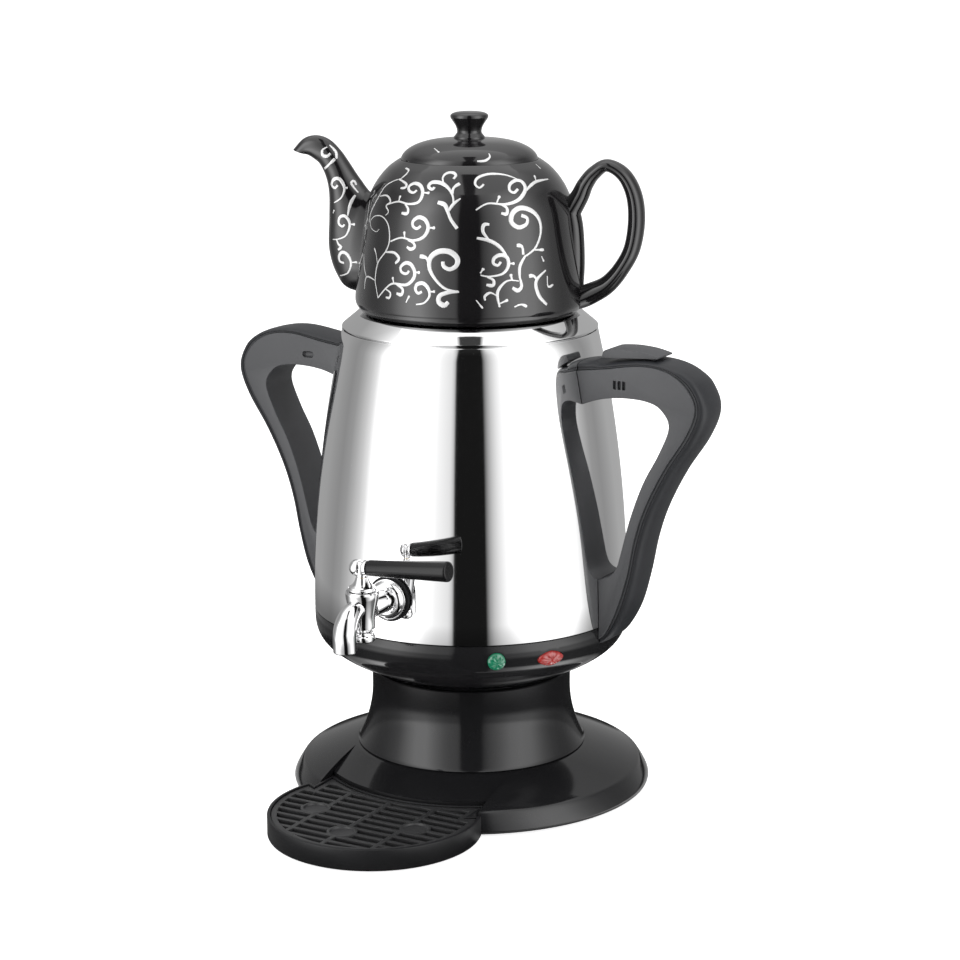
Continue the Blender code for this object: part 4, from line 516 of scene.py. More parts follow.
# front and back of a lens and of its hole, height of its dome, faces round it
lampSizes = {"lens": (0.0006, -0.0125, 0.0014, 80), "hole": (0.003, -0.0075, 0, 40), "probe": 0.0013,
             "edge": 0.0003, "edgeShare": 0.97, "facet": 0.16,
             "dome": ((0.86, 0.45), (0.66, 0.78), (0.38, 0.95), (0.1, 1))}


def bowlRadius(height):
    share = min(height / (hull["bowlTop"] - hull["bowlBand"] - hull["bowlBottom"]), 1.0)
    cosine = (1.0 - share) ** (1.0 / hull["bowlRise"])
    sine = math.sqrt(1.0 - cosine ** 2)
    return hull["bowlNeck"] + (hull["tankFoot"] - hull["bowlNeck"]) * sine ** hull["bowlBulge"]


def lampPlace(lamp):
    step, rise = lampSizes["probe"], lamp["rise"]
    slope = math.atan2(bowlRadius(rise + step) - bowlRadius(rise - step), 2 * step)
    out = Matrix.Translation((0, -bowlRadius(rise), hull["bowlBottom"] + rise))
    return (Matrix.Rotation(math.radians(lamp["angle"]), 4, "Z") @ out @ Matrix.Rotation(slope, 4, "X")
            @ Matrix.Rotation(math.pi / 2, 4, "X"))


def lensPost(lamp, growth, front, back, dome, faces):
    s = lampSizes
    halfW, halfH = lamp["width"] / 2 + growth, lamp["height"] / 2 + growth
    levels = [(1.0, back), (1.0, front - s["edge"]), (s["edgeShare"], front)]
    if dome:
        levels += [(share, front + rise * dome) for share, rise in s["dome"]]
    rings = []
    for share, height in levels:
        ring = []
        for turn in turns(faces):
            x = math.cos(turn)
            y = math.sin(turn) * (1 - (1 - lamp["point"]) * abs(x))
            facet = s["facet"] * dome * math.cos(lamp["facets"] * turn) * 4 * share * (1 - share)
            ring.append((x * halfW * share, y * halfH * share, height + facet))
        rings.append(ring)
    return skinned("lens", rings)


def makeLamps():
    for lamp in lamps:
        lens = placed(lensPost(lamp, 0, *lampSizes["lens"]), lampPlace(lamp))
        finished(lens, lamp["name"], lamp["look"], "samovar", lamp["slot"], lamp["node"])


makeTank()
makeTankLid()
makeBowl()
makePedestal()
makeBase()
makeLamps()
print("tank, lid, bowl, pedestal, base and lamps made")


# ---- geometry nodes ----
def newTree(name, inputs):
    tree = bpy.data.node_groups.new(name, "GeometryNodeTree")
    sockets = tree.interface
    sockets.new_socket(name="Geometry", in_out="INPUT", socket_type="NodeSocketGeometry")
    for label, kind, value in inputs:
        socket = sockets.new_socket(name=label, in_out="INPUT", socket_type="NodeSocket" + kind)
        if value is not None:
            socket.default_value = value
    sockets.new_socket(name="Geometry", in_out="OUTPUT", socket_type="NodeSocketGeometry")
    node = nodeMaker(tree)
    return tree, node("NodeGroupInput").outputs, node("NodeGroupOutput").inputs, node


def vector(node, **axes):
    return node("ShaderNodeCombineXYZ", axes).outputs[0]


def repeated(node, size, count, first, pitch):
    # boxes of one size on a line of points
    shape = node("GeometryNodeMeshCube", {"Size": size})
    line = node("GeometryNodeMeshLine", {"Count": count, "Start Location": first, "Offset": pitch})
    copies = node("GeometryNodeInstanceOnPoints", {"Points": line.outputs[0], "Instance": shape.outputs[0]})
    return node("GeometryNodeRealizeInstances", {"Geometry": copies.outputs[0]}).outputs[0]


def painted(tree, given, result, node, shape):
    look = node("GeometryNodeSetMaterial", {"Geometry": shape, "Material": given["Finish"]})
    tree.links.new(look.outputs[0], result["Geometry"])
    return tree


def grown(name, tree, source, values):
    # runs a node tree on a carrier object and keeps its plain mesh
    step = source.modifiers.new("nodes", "NODES")
    step.node_group = tree
    for item in tree.interface.items_tree:
        if item.item_type == "SOCKET" and item.in_out == "INPUT" and item.name in values:
            step[item.identifier] = values[item.name]
    seen = source.evaluated_get(bpy.context.evaluated_depsgraph_get())
    mesh = bpy.data.meshes.new_from_object(seen)
    bpy.data.objects.remove(source, do_unlink=True)
    return linked(name, mesh)


def rowsTree():
    # bars along X at a pitch in Y, then cross ribs along Y: what a slotted plate keeps
    tree, given, result, node = newTree("slotRows", [
        ("Rows", "Int", 20), ("Pitch", "Float", 0.0076), ("Bar", "Float", 0.0028), ("First", "Float", 0.0),
        ("Ribs", "Int", 3), ("Rib Pitch", "Float", 0.0275), ("Rib", "Float", 0.0026), ("Length", "Float", 0.13),
        ("Height", "Float", 0.02), ("Middle", "Float", 0.0), ("Finish", "Material", None)])
    rows = repeated(node, vector(node, X=given["Length"], Y=given["Bar"], Z=given["Height"]), given["Rows"],
                    vector(node, Y=given["First"]), vector(node, Y=given["Pitch"]))
    gaps = node("ShaderNodeMath", {0: given["Ribs"], 1: 1.0}, operation="SUBTRACT")
    spread = node("ShaderNodeMath", {0: gaps.outputs[0], 1: given["Rib Pitch"]}, operation="MULTIPLY")
    left = node("ShaderNodeMath", {0: spread.outputs[0], 1: -0.5}, operation="MULTIPLY")
    ribs = repeated(node, vector(node, X=given["Rib"], Y=given["Length"], Z=given["Height"]), given["Ribs"],
                    vector(node, X=left.outputs[0], Y=given["Middle"]), vector(node, X=given["Rib Pitch"]))
    slots = node("GeometryNodeMeshBoolean", {"Mesh 1": given["Geometry"]}, operation="DIFFERENCE",
                 solver="EXACT")
    for bars in (rows, ribs):
        tree.links.new(bars, slots.inputs["Mesh 2"])
    return painted(tree, given, result, node, slots.outputs["Mesh"])


# ---- drip tray and grille ----
traySizes = {"centre": 0.110, "radius": 0.060, "rim": 0.1055, "back": 0.0885, "half": 0.0515,
             "low": -0.001, "high": 0.0115, "wall": 0.0020, "ledge": 0.0016, "floor": 0.0038, "ledgeZ": 0.0084,
             "edge": 0.0006, "corner": 0.001, "under": ((0.0012, 0), (0.0004, 0.0004), (0.0, 0.0012)),
             "step": (0.1034, 0.0023), "stepDeep": -0.01, "arcSteps": (72, 4, 26)}
grilleSizes = {"low": 0.0087, "high": 0.0107, "gap": 0.0005, "border": 0.0030, "rows": 17, "pitch": 0.0076,
               "slot": 0.0053, "ribs": 3, "rib": 0.0026, "ribPitch": 0.0275, "length": 0.13, "tall": 0.05,
               "over": 0.002, "pad": 0.0085, "padRing": 0.0012, "padDish": 0.0009, "padSlope": 0.0008,
               "padOver": 0.0005, "padCircle": 0.034, "padTurns": (-72, 0, 72), "padFaces": 40,
               "round": 0.00035}


def arc(centre, radius, start, end, steps):
    return [(centre[0] + radius * math.cos(start + (end - start) * step / steps),
             centre[1] + radius * math.sin(start + (end - start) * step / steps)) for step in range(steps + 1)]


def trayOutline(inset):
    s = traySizes
    frontSteps, sideSteps, backSteps = s["arcSteps"]
    own, rim, back, side = s["radius"] - inset, s["rim"] + inset, s["back"] + inset, s["half"] - inset
    meetY = -(rim ** 2 - own ** 2 + s["centre"] ** 2) / (2 * s["centre"])
    meetX = math.sqrt(rim ** 2 - meetY ** 2)
    right = arc((0, -s["centre"]), own, -math.pi / 2, math.atan2(meetY + s["centre"], meetX), frontSteps)
    right += arc((0, 0), rim, math.atan2(meetY, meetX), -math.acos(side / rim), sideSteps)[1:]
    right += arc((0, 0), back, -math.acos(side / back), -math.pi / 2, backSteps)
    return right + [(-x, y) for x, y in reversed(right[1:-1])]


def makeTray():
    s = traySizes
    edge, inside = s["edge"], s["wall"] + s["ledge"]
    levels = [(inset, s["low"] + rise) for inset, rise in s["under"]]
    levels += [(0.0, s["high"] - edge), (0.3 * edge, s["high"] - 0.3 * edge), (edge, s["high"]),
               (s["wall"] - 0.4 * edge, s["high"]), (s["wall"], s["high"] - 0.4 * edge),
               (s["wall"], s["ledgeZ"]), (inside, s["ledgeZ"]), (inside, s["floor"] + s["corner"]),
               (inside + s["corner"], s["floor"])]
    tray = skinned("tray", [[(x, y, height) for x, y in trayOutline(inset)] for inset, height in levels])
    combined(tray, plug("step", s["stepDeep"], *s["step"]))
    softShade(tray, "moulded")
    finished(tray, "dripTray", traySatin, "tray", "tray_black", "drip_tray")


def padPlaces():
    g, s = grilleSizes, traySizes
    places = []
    for turn in g["padTurns"]:
        angle = math.radians(turn)
        places.append((g["padCircle"] * math.sin(angle), -s["centre"] - g["padCircle"] * math.cos(angle)))
    return places


def makeGrille():
    s, g = traySizes, grilleSizes
    start = s["wall"] + g["gap"]
    plate = extruded("plate", trayOutline(start), g["low"], g["high"])
    field = extruded("field", trayOutline(start + g["border"]), g["low"] - g["over"], g["high"] + g["over"])
    for x, y in padPlaces():
        circle = arc((0, 0), g["pad"], 0, 2 * math.pi, g["padFaces"])[:-1]
        combined(field, extruded("pad", [(x + px, y + py) for px, py in circle], g["low"] - 2 * g["over"],
                                 g["high"] + 2 * g["over"]))
    slots = grown("slots", rowsTree(), field, {
        "Rows": g["rows"], "Pitch": g["pitch"], "Bar": g["pitch"] - g["slot"],
        "First": -s["centre"] - (g["rows"] // 2 - 0.5) * g["pitch"], "Ribs": g["ribs"],
        "Rib Pitch": g["ribPitch"], "Rib": g["rib"], "Length": g["length"], "Height": g["tall"],
        "Middle": -s["centre"], "Finish": grilleSatinPaintedLight})
    combined(plate, slots)
    bottom, top, ring = g["high"] - g["padDish"], g["high"] + g["padOver"], g["pad"] - g["padRing"]
    for x, y in padPlaces():
        outline = [(0, bottom), (ring - g["padSlope"], bottom), (ring, top), (0, top)]
        combined(plate, placed(turned("dish", outline, g["padFaces"]), Matrix.Translation((x, y, 0))))
    bevelled(plate, g["round"], "grille")
    # the grille wears the lighter copy of the tray's black, painted light on its bars
    finished(plate, "slottedGrille", grilleSatinPaintedLight, "grille", "tray_black", "drip_grille")


makeTray()
makeGrille()
print("drip tray and grille made")


# ---- tap ----
tapSizes = {"z": 0.1295, "wall": 0.0908932, "reach": 0.029, "outlet": 0.047, "half": 0.0115, "lever": 0.0243,
            "tilt": 5.0, "drop": 0.021, "round": 0.0003, "gap": 0.0003}
valveY = -(tapSizes["wall"] + tapSizes["reach"])


def outward():
    # from the tank's wall along the tap
    return Matrix.Translation((0, -tapSizes["wall"], tapSizes["z"])) @ Matrix.Rotation(math.pi / 2, 4, "X")


def onValve(piece):
    return placed(piece, Matrix.Translation((0, valveY, tapSizes["z"])))


# (radius, height) outlines from the tank's wall outwards; gasket, rim of the rose, then its dome
roseSizes = {"gasket": ((0.0063, -0.0009), (0.0119, -0.0009), (0.0119, 0.0004), (0.0128, 0.0004),
                        (0.0128, 0.0021), (0.0063, 0.0021)),
             "rim": ((0.0115, 0.0023), (0.0115, 0.0034), (0.0109, 0.0037), (0.0107, 0.0034)),
             "bore": 0.0063, "low": 0.0023, "high": 0.0069, "domeFoot": 0.0036, "domeReach": 0.0044,
             "domeRise": 0.0033, "domeShape": 0.75, "domeSteps": 15}


def makeTapRose():
    s = roseSizes
    gasket = placed(turned("gasket", filleted(s["gasket"], tapSizes["round"])), outward())
    combined(gasket, envelope())
    softShade(gasket)
    finished(gasket, "tapGasket", gasketBlack, "samovar", "rubber", "tap_gasket")
    dome = []
    for step in range(s["domeSteps"]):
        turn = math.radians(90) * step / s["domeSteps"]
        dome.append((s["bore"] + s["domeReach"] * math.cos(turn) ** s["domeShape"],
                     s["domeFoot"] + s["domeRise"] * math.sin(turn)))
    outline = [(s["bore"], s["low"])] + filleted(s["rim"], tapSizes["round"]) + dome + [(s["bore"], s["high"])]
    rose = placed(turned("rose", outline), outward())
    finished(rose, "tapRose", chrome, "samovar", "chrome", "tap_flange")


# places along the spout as shares of its reach and of its drop, then its radii at both ends
spoutSizes = {"throat": 0.0022, "path": ((0, 0), (0.42, 0), (0.80, 0.16), (1, 0.48)), "end": 0.0026,
              "narrow": 0.0048, "wide": 0.0065, "spread": 1.5, "faces": 40, "bead": 0.0003,
              "lip": ((0.93, -0.0003), (0.72, -0.0003), (0.66, 0.0004), (0.66, 0.012)), "steps": 10}


def spoutPath():
    s, drop = spoutSizes, tapSizes["drop"]
    start, end = valveY, -(tapSizes["wall"] + tapSizes["outlet"])
    throat = tapSizes["z"] + s["throat"]
    points = [(start + share * (end - start), throat - fall * drop) for share, fall in s["path"]]
    return spline(points + [(end, tapSizes["z"] - drop + s["end"])], s["steps"])


def pathSteps(path):
    # each place of a flat path with the direction of the path there
    for index, place in enumerate(path):
        ahead, behind = path[min(index + 1, len(path) - 1)], path[max(index - 1, 0)]
        yield index, place, Vector((ahead[0] - behind[0], ahead[1] - behind[1])).normalized()


def pathRings(path, radii, faces):
    rings = []
    for index, (y, z), along in pathSteps(path):
        ring = []
        for turn in turns(faces):
            rise = radii[index] * math.sin(turn)
            ring.append((radii[index] * math.cos(turn), y - along.y * rise, z + along.x * rise))
        rings.append(ring)
    return rings


# outlines about the valve's own axis; a third value is that corner's own rounding
valveSizes = {"spigot": (0.004, 0.003), "foot": 0.0070,
              "side": ((0.0070, -0.0020, 0.004), (0.0090, 0.0074, 0.003)),
              "top": ((0.0093, 0.0012, 0.0005), (0.0088, 0, 0.0004)), "round": 0.0006,
              "shank": ((0.0035, -0.014), (0.006, -0.014), (0.006, 0.022), (0.0035, 0.022)),
              "shankRound": 0.0005, "chamber": 0.0058, "chamberLow": 0.003, "chamberHigh": 0.002}


def makeTapBody():
    s, v, half = spoutSizes, valveSizes, tapSizes["half"]
    reach, deep = v["spigot"]
    housing = [(0, -half - deep), (reach, -half - deep), (reach, -half)]
    top = [(radius, half - below, own) for radius, below, own in v["top"]]
    housing += filleted([(v["foot"], -half), *v["side"], *top, (0, half)], v["round"])
    tap = onValve(turned("tapBody", housing))
    shank = placed(turned("shank", filleted(v["shank"], v["shankRound"])), outward())
    path = spoutPath()
    last = len(path) - 1
    radii = [s["narrow"] + (s["wide"] - s["narrow"]) * min(s["spread"] * index / last, 1.0)
             for index in range(last + 1)]
    outer = pathRings(path, radii, s["faces"])
    mouth = [Vector(point) for point in outer[-1]]
    centre = Vector((0, path[-1][0], path[-1][1]))
    lip = [[tuple(centre + (p - centre) * share + Vector((0, 0, rise))) for p in mouth]
           for share, rise in ((1, s["bead"]),) + s["lip"]]
    combined(tap, skinned("spout", outer[:-1] + lip), "UNION")
    tap = joined("tapBody", [tap, shank])
    combined(tap, onValve(plug("chamber", -half + v["chamberLow"], v["chamber"], half + v["chamberHigh"])))
    softShade(tap, "tap")
    finished(tap, "tapBody", chrome, "samovar", "chrome", "tap_body")


# (radius, rise) outlines over the top of the valve's housing, and (radius, depth) ones under it
topSizes = {"skirt": ((0.0026, -0.002), (0.0055, -0.002), (0.0055, 0, 0), (0.00785, 0), (0.00785, 0.0016)),
            "round": 0.0004, "bore": 0.0026, "high": 0.0074, "coneSteps": 5,
            "cone": ((0.0072, 0.0019), (0.0056, 0.0030), (0.0043, 0.0048), (0.0036, 0.0066), (0.0034, 0.0074)),
            "cap": ((0.0043, 0), (0.0062, 0), (0.0062, 0.0013, 0), (0.0068, 0.0019), (0.0068, 0.0044),
                    (0.0054, 0.0055), (0, 0.0055), (0, 0.0036), (0.0043, 0.0036))}


def raised(points, level, way=1):
    # the same outline from another level, upwards or downwards
    return [(point[0], level + way * point[1], *point[2:]) for point in points]


def makeTapTop():
    s = topSizes
    low = tapSizes["half"] + tapSizes["gap"]
    bonnet = filleted(raised(s["skirt"], low), s["round"])
    bonnet += spline(raised(s["cone"], low), s["coneSteps"])
    bonnet.append((s["bore"], low + s["high"]))
    finished(onValve(turned("bonnet", bonnet)), "tapBonnet", chrome, "samovar", "chrome", "tap_bonnet")
    cap = filleted(raised(s["cap"], -low, -1), tapSizes["round"])
    finished(onValve(turned("cap", cap)), "tapBottomCap", chrome, "samovar", "chrome", "tap_bottom_cap")


def leverFrame():
    return (Matrix.Translation((0, valveY, tapSizes["z"] + tapSizes["lever"]))
            @ Matrix.Rotation(math.radians(-tapSizes["tilt"]), 4, "Y") @ Matrix.Rotation(math.pi / 2, 4, "Y"))


# outlines along the lever, and of the stem under it
leverSizes = {"ball": 0.0045, "centre": -0.0030, "ballTurn": 146, "ballSteps": 16, "neck": 0.0030,
              "neckRise": 0.0004, "stemSteps": 4, "gripSteps": 5,
              "ferrule": ((0.0032, 0.0017, 0.0003), (0.0043, 0.0021, 0.0003), (0.0043, 0.0040, 0.0003),
                          (0.0018, 0.0040, 0), (0.0018, 0.020, 0), (0, 0.020)),
              "stemLow": 0.0080, "stem": ((0.0034, 0), (0.0031, 0.0012), (0.0033, 0.0030)), "stemTop": 0.0036,
              "grip": ((0, 0.0043), (0.0044, 0.0043, 0.0014), (0.0050, 0.030, 0), (0.0056, 0.055, 0.0016),
                       (0, 0.055)), "gripRound": 0.0012}


def makeLever():
    s = leverSizes
    outline = []
    for step in range(s["ballSteps"] + 1):
        turn = math.radians(s["ballTurn"]) * step / s["ballSteps"]
        outline.append((s["ball"] * math.sin(turn), s["centre"] - s["ball"] * math.cos(turn)))
    outline += filleted([(s["neck"], outline[-1][1] + s["neckRise"], 0), *s["ferrule"]], tapSizes["round"])
    hub = placed(turned("hub", outline), leverFrame())
    base = tapSizes["half"] + s["stemLow"]
    neck = spline(raised(s["stem"], base) + [(s["stemTop"], tapSizes["lever"])], s["stemSteps"])
    stem = onValve(turned("stem", [(0, base)] + neck + [(0, tapSizes["lever"])]))
    hub = softShade(combined(hub, stem, "UNION"), "moulded")
    finished(hub, "leverHub", chrome, "tap_valve", "chrome", "lever_hub")
    grip = placed(turned("grip", filleted(s["grip"], s["gripRound"], s["gripSteps"])), leverFrame())
    finished(grip, "leverGrip", leverBlack, "tap_valve", "lever_black", "lever_grip")


makeTapRose()
makeTapBody()
makeTapTop()
makeLever()
print("tap made")


# ---- handles ----
handleSizes = {"reach": 0.0615, "low": 0.0970, "high": 0.2595, "width": 0.028, "coverWidth": 0.0255,
               "round": 0.0024, "rise": 0.0023, "riseEnd": 0.0882, "riseLength": 0.0022, "seatGap": 0.0003,
               "coverSteps": 130, "ventDepth": 0.0022, "ventPitch": 0.0028, "ventPlace": (0.17, 0.913),
               "slotHalf": (0.0026, 0.0053), "slotZ": (-0.002, 0.01)}
# the recess in each handle's face: number of slots, width, height, share that is rounded
vents = {"left": (1, 0.0078, 0.0039, 0.45), "right": (3, 0.0021, 0.0050, 0.28)}
# outlines as shares of the reach and of the height: outer edge of the frame, crown of the cover, inner edge
edgeShares = (
    (-0.346, 0.945), (0.011, 0.963), (0.320, 0.982), (0.532, 0.980), (0.702, 0.959),
    (0.841, 0.914), (0.906, 0.849), (0.824, 0.760), (0.613, 0.634), (0.434, 0.498),
    (0.328, 0.375), (0.260, 0.246), (0.166, 0.129), (0.044, 0.031), (-0.086, -0.006),
)
crownShares = (
    (-0.346, 0.960), (0.011, 0.982), (0.272, 0.997), (0.467, 1.000), (0.662, 0.988),
    (0.818, 0.962), (0.932, 0.924), (1.014, 0.841), (0.920, 0.740), (0.706, 0.617),
    (0.532, 0.489), (0.426, 0.372), (0.353, 0.243), (0.263, 0.120), (0.109, 0.022),
    (-0.050, -0.020),
)
insideShares = (
    (-0.346, 0.806), (-0.184, 0.837), (0.011, 0.861), (0.223, 0.870), (0.434, 0.866),
    (0.575, 0.844), (0.660, 0.786), (0.564, 0.689), (0.418, 0.585), (0.293, 0.458),
    (0.198, 0.323), (0.158, 0.274), (0.085, 0.240), (-0.102, 0.212),
)
# half section of the cover, as shares: depth from the seat to the crown, and half width
coverSection = ((0.0, 1.0), (0.20, 1.0), (0.24, 0.955), (0.33, 0.950), (0.38, 0.985), (0.58, 0.965),
                (0.76, 0.88), (0.90, 0.70), (0.97, 0.45), (1.0, 0.18))


def handleCurve(shares, steps=8):
    return spline([handlePoint(share, height) for share, height in shares], steps)


def ventTree():
    # a row of small slots along X
    tree, given, result, node = newTree("ventRow", [
        ("Count", "Int", 3), ("Pitch", "Float", 0.0028), ("Size", "Vector", (0.001, 0.001, 0.004)),
        ("Start", "Vector", (0, 0, 0)), ("Finish", "Material", None)])
    row = repeated(node, given["Size"], given["Count"], given["Start"], vector(node, X=given["Pitch"]))
    return painted(tree, given, result, node, row)


def handlePoint(share, height):
    h = handleSizes
    return hull["tankFoot"] + share * h["reach"], h["low"] + height * (h["high"] - h["low"])


def makeFrame(side, word):
    h = handleSizes
    half = h["width"] / 2
    outline = handleCurve(edgeShares) + list(reversed(handleCurve(insideShares)))
    grip = extruded("frame", [(side * x, z) for x, z in outline], -half, half, "y")
    bevelled(grip, h["round"], "frame")
    count, width, tall, rounded = vents[word]
    x, z = handlePoint(*h["ventPlace"])
    row = grown("ventRow", ventTree(), box("carrier", (0, 0, 0), (0.001, 0.001, 0.001)), {
        "Count": count, "Pitch": h["ventPitch"], "Size": (width, 2 * h["ventDepth"], tall),
        "Start": (side * x - h["ventPitch"] * (count - 1) / 2, -half, z), "Finish": gripGrey})
    combined(grip, bevelled(row, rounded * min(width, tall), "vents"))
    combined(grip, envelope())
    softShade(grip, "grip")
    finished(grip, word + "HandleFrame", gripGrey, "samovar", "grip_grey", "handle_frame_" + word)


def makeCover(side, word):
    h = handleSizes
    half = h["coverWidth"] / 2
    section = [(depth, -width) for depth, width in coverSection]
    section += [(depth, width) for depth, width in reversed(coverSection)]
    rings = []
    crown, seat = [resample(handleCurve(shares), h["coverSteps"]) for shares in (crownShares, edgeShares)]
    for top, low in zip(crown, seat):
        if side > 0:
            near = min(max((h["riseEnd"] - top[0]) / h["riseLength"], 0), 1)
            top = (top[0], top[1] + h["rise"] * near)
        low = Vector(low) + (Vector(top) - Vector(low)).normalized() * h["seatGap"]
        ring = []
        for depth, width in section:
            spot = low + (Vector(top) - low) * depth
            ring.append((side * spot.x, width * half, spot.y))
        rings.append(ring)
    cover = skinned("cover", rings)
    combined(cover, envelope())
    if side > 0:
        x, z = pivot
        halfX, halfY = h["slotHalf"]
        low, high = h["slotZ"]
        combined(cover, box("slot", (x - halfX, -halfY, z + low), (x + halfX, halfY, z + high)))
    softShade(cover, "moulded")
    finished(cover, word + "HandleCover", coverGrey, "samovar", "cover_grey", "handle_cover_" + word)


paddleSizes = {"width": 0.0185, "round": 0.0006, "steps": 4, "knuckleHalf": (0.0015, 0.005),
               "knuckleZ": (-0.0015, 0.0078), "under": ((0.1115, 0.2603), (0.1012, 0.2598))}
paddleSide = (
    (0.0890, 0.2590), (0.0888, 0.2598), (0.0892, 0.2618), (0.0905, 0.2634), (0.0940, 0.2643), (0.1020, 0.2648),
    (0.1080, 0.2646), (0.1133, 0.2641), (0.1180, 0.2632), (0.1222, 0.2621), (0.1229, 0.2616), (0.1228, 0.2610),
)
pivot = (0.1168, 0.2541877)


def makePaddle():
    s = paddleSizes
    outline = spline(paddleSide, s["steps"]) + list(s["under"])
    paddle = extruded("paddle", outline, -s["width"] / 2, s["width"] / 2, "y")
    bevelled(paddle, s["round"], "paddle")
    x, z = pivot
    halfX, halfY = s["knuckleHalf"]
    low, high = s["knuckleZ"]
    knuckle = box("knuckle", (x - halfX, -halfY, z + low), (x + halfX, halfY, z + high))
    softShade(combined(paddle, knuckle, "UNION"), "paddle")
    finished(paddle, "switchPaddle", gripGrey, "switch", "cover_grey", "switch_paddle")


for side, word in ((-1, "left"), (1, "right")):
    makeFrame(side, word)
    makeCover(side, word)
makePaddle()
print("handles made")


# ---- teapot ----
potSizes = {"z": 0.2773, "turn": 17.0, "wall": 0.0035, "wallRise": 0.001, "floor": 0.0055, "floorReach": 0.0555,
            "neck": (0.0345, 0.0820), "mouth": 0.0852, "round": 0.0005, "clear": 0.0002,
            "foot": ((0, 0.002), (0.0535, 0.002), (0.0552, 0.0), (0.0598, 0.0, 0.0006)),
            "rim": ((0.0398, 0.0863), (0.0394, 0.0864), (0.0389, 0.0862), (0.0389, 0.0852)),
            "spoutReach": 0.1028, "spoutHeight": 0.0981, "spoutHalf": 0.013, "spoutWall": 0.0017,
            "boreOver": 0.003, "earReach": 0.100, "earHeight": 0.0867, "earHalf": 0.007, "earThick": 0.005,
            "sideSteps": 8, "insideSteps": 4, "insideSpan": (8, -4), "earSteps": 8, "legSteps": 6}
potSide = ((0.0616, 0.0010), (0.0641, 0.0040), (0.0653, 0.0080), (0.0644, 0.018), (0.0631, 0.028),
           (0.0618, 0.038), (0.0605, 0.0475), (0.0594, 0.0555), (0.0578, 0.0628), (0.0550, 0.0697),
           (0.0522, 0.0745), (0.0489, 0.0788), (0.0449, 0.0828), (0.0403, 0.0860))
# shares of the spout's reach and height: lower edge x and z, upper edge x and z, then its width
spoutShares = (
    (0.467, 0.078, 0.467, 0.619, 1.00), (0.681, 0.104, 0.559, 0.675, 0.96),
    (0.759, 0.191, 0.584, 0.700, 0.88), (0.801, 0.333, 0.613, 0.741, 0.80),
    (0.798, 0.517, 0.642, 0.782, 0.70), (0.796, 0.660, 0.681, 0.843, 0.62),
    (0.812, 0.756, 0.730, 0.914, 0.54), (0.846, 0.831, 0.793, 0.976, 0.48),
    (0.885, 0.866, 0.866, 1.000, 0.44), (0.910, 0.882, 0.939, 0.981, 0.40),
    (0.923, 0.889, 1.000, 0.916, 0.37),
)
# shares of the ear's reach, height and thickness
earShares = (
    (0.500, 0.100, 1.30), (0.620, 0.105, 1.30), (0.712, 0.145, 1.20), (0.795, 0.202, 1.04),
    (0.870, 0.305, 0.94), (0.930, 0.440, 0.94), (0.953, 0.620, 0.96), (0.937, 0.785, 0.90),
    (0.878, 0.912, 0.80), (0.785, 0.969, 0.70), (0.712, 0.920, 0.80), (0.662, 0.845, 0.92),
    (0.628, 0.763, 1.05), (0.560, 0.640, 1.30),
)
earLegShares = ((0.590, 0.130, 1.24), (0.592, 0.330, 1.40), (0.590, 0.560, 1.25), (0.575, 0.700, 1.00))


def potPlace():
    return Matrix.Translation((0, 0, potSizes["z"])) @ Matrix.Rotation(math.radians(potSizes["turn"]), 4, "Z")


def potInside():
    p = potSizes
    first, last = p["insideSpan"]
    side = [(r - p["wall"], z + p["wallRise"])
            for r, z in spline(potSide, p["insideSteps"])[first:last]]
    return [(0, p["floor"]), (p["floorReach"], p["floor"])] + side + [p["neck"], (p["neck"][0], p["mouth"])]


def spoutRings(wall=0.0, steps=6, faces=36):
    p = potSizes
    rings = []
    for lowX, lowZ, highX, highZ, width in spline(spoutShares, steps):
        low = Vector((-lowX * p["spoutReach"], 0, lowZ * p["spoutHeight"]))
        high = Vector((-highX * p["spoutReach"], 0, highZ * p["spoutHeight"]))
        centre = 0.5 * (low + high)
        half = (high - centre) * (1 - wall / (high - centre).length)
        across = p["spoutHalf"] * width - wall
        rings.append([centre + half * math.cos(turn) + Vector((0, across * math.sin(turn), 0))
                      for turn in turns(faces)])
    return rings


def earRings(shares, steps, faces=28):
    p = potSizes
    path = spline([(x * p["earReach"], z * p["earHeight"], t * p["earThick"]) for x, z, t in shares], steps)
    rings = []
    for index, (x, z, thick), along in pathSteps(path):
        ring = []
        for turn in turns(faces):
            a, b = math.cos(turn), math.sin(turn)
            ring.append((x - along.y * a * thick, b * p["earHalf"], z + along.x * a * thick))
        rings.append(ring)
    return rings


def makePot():
    p = potSizes
    outline = filleted(p["foot"], p["round"]) + spline(potSide, p["sideSteps"]) + list(p["rim"])
    outline += list(reversed(potInside()))
    pot = turned("pot", outline)
    hollow = [(r - p["clear"] if r else 0, z) for r, z in potInside()] + [(0, p["mouth"])]
    ear = combined(skinned("ear", earRings(earShares, p["earSteps"])),
                   skinned("leg", earRings(earLegShares, p["legSteps"])), "UNION")
    spout = skinned("spout", spoutRings())
    bore = spoutRings(p["spoutWall"])
    reach = (sum(bore[-1], Vector()) - sum(bore[-2], Vector())).normalized() * p["boreOver"]
    combined(spout, skinned("bore", bore + [[point + reach for point in bore[-1]]]))
    for extra in (ear, spout):
        combined(extra, turned("inner", hollow))
    pot = placed(joined("pot", [pot, ear, spout]), potPlace())
    softShade(pot, "moulded")
    finished(pot, "porcelainTeapot", blackGlaze, "teapot", "porcelain", "teapot_body")
    return pot


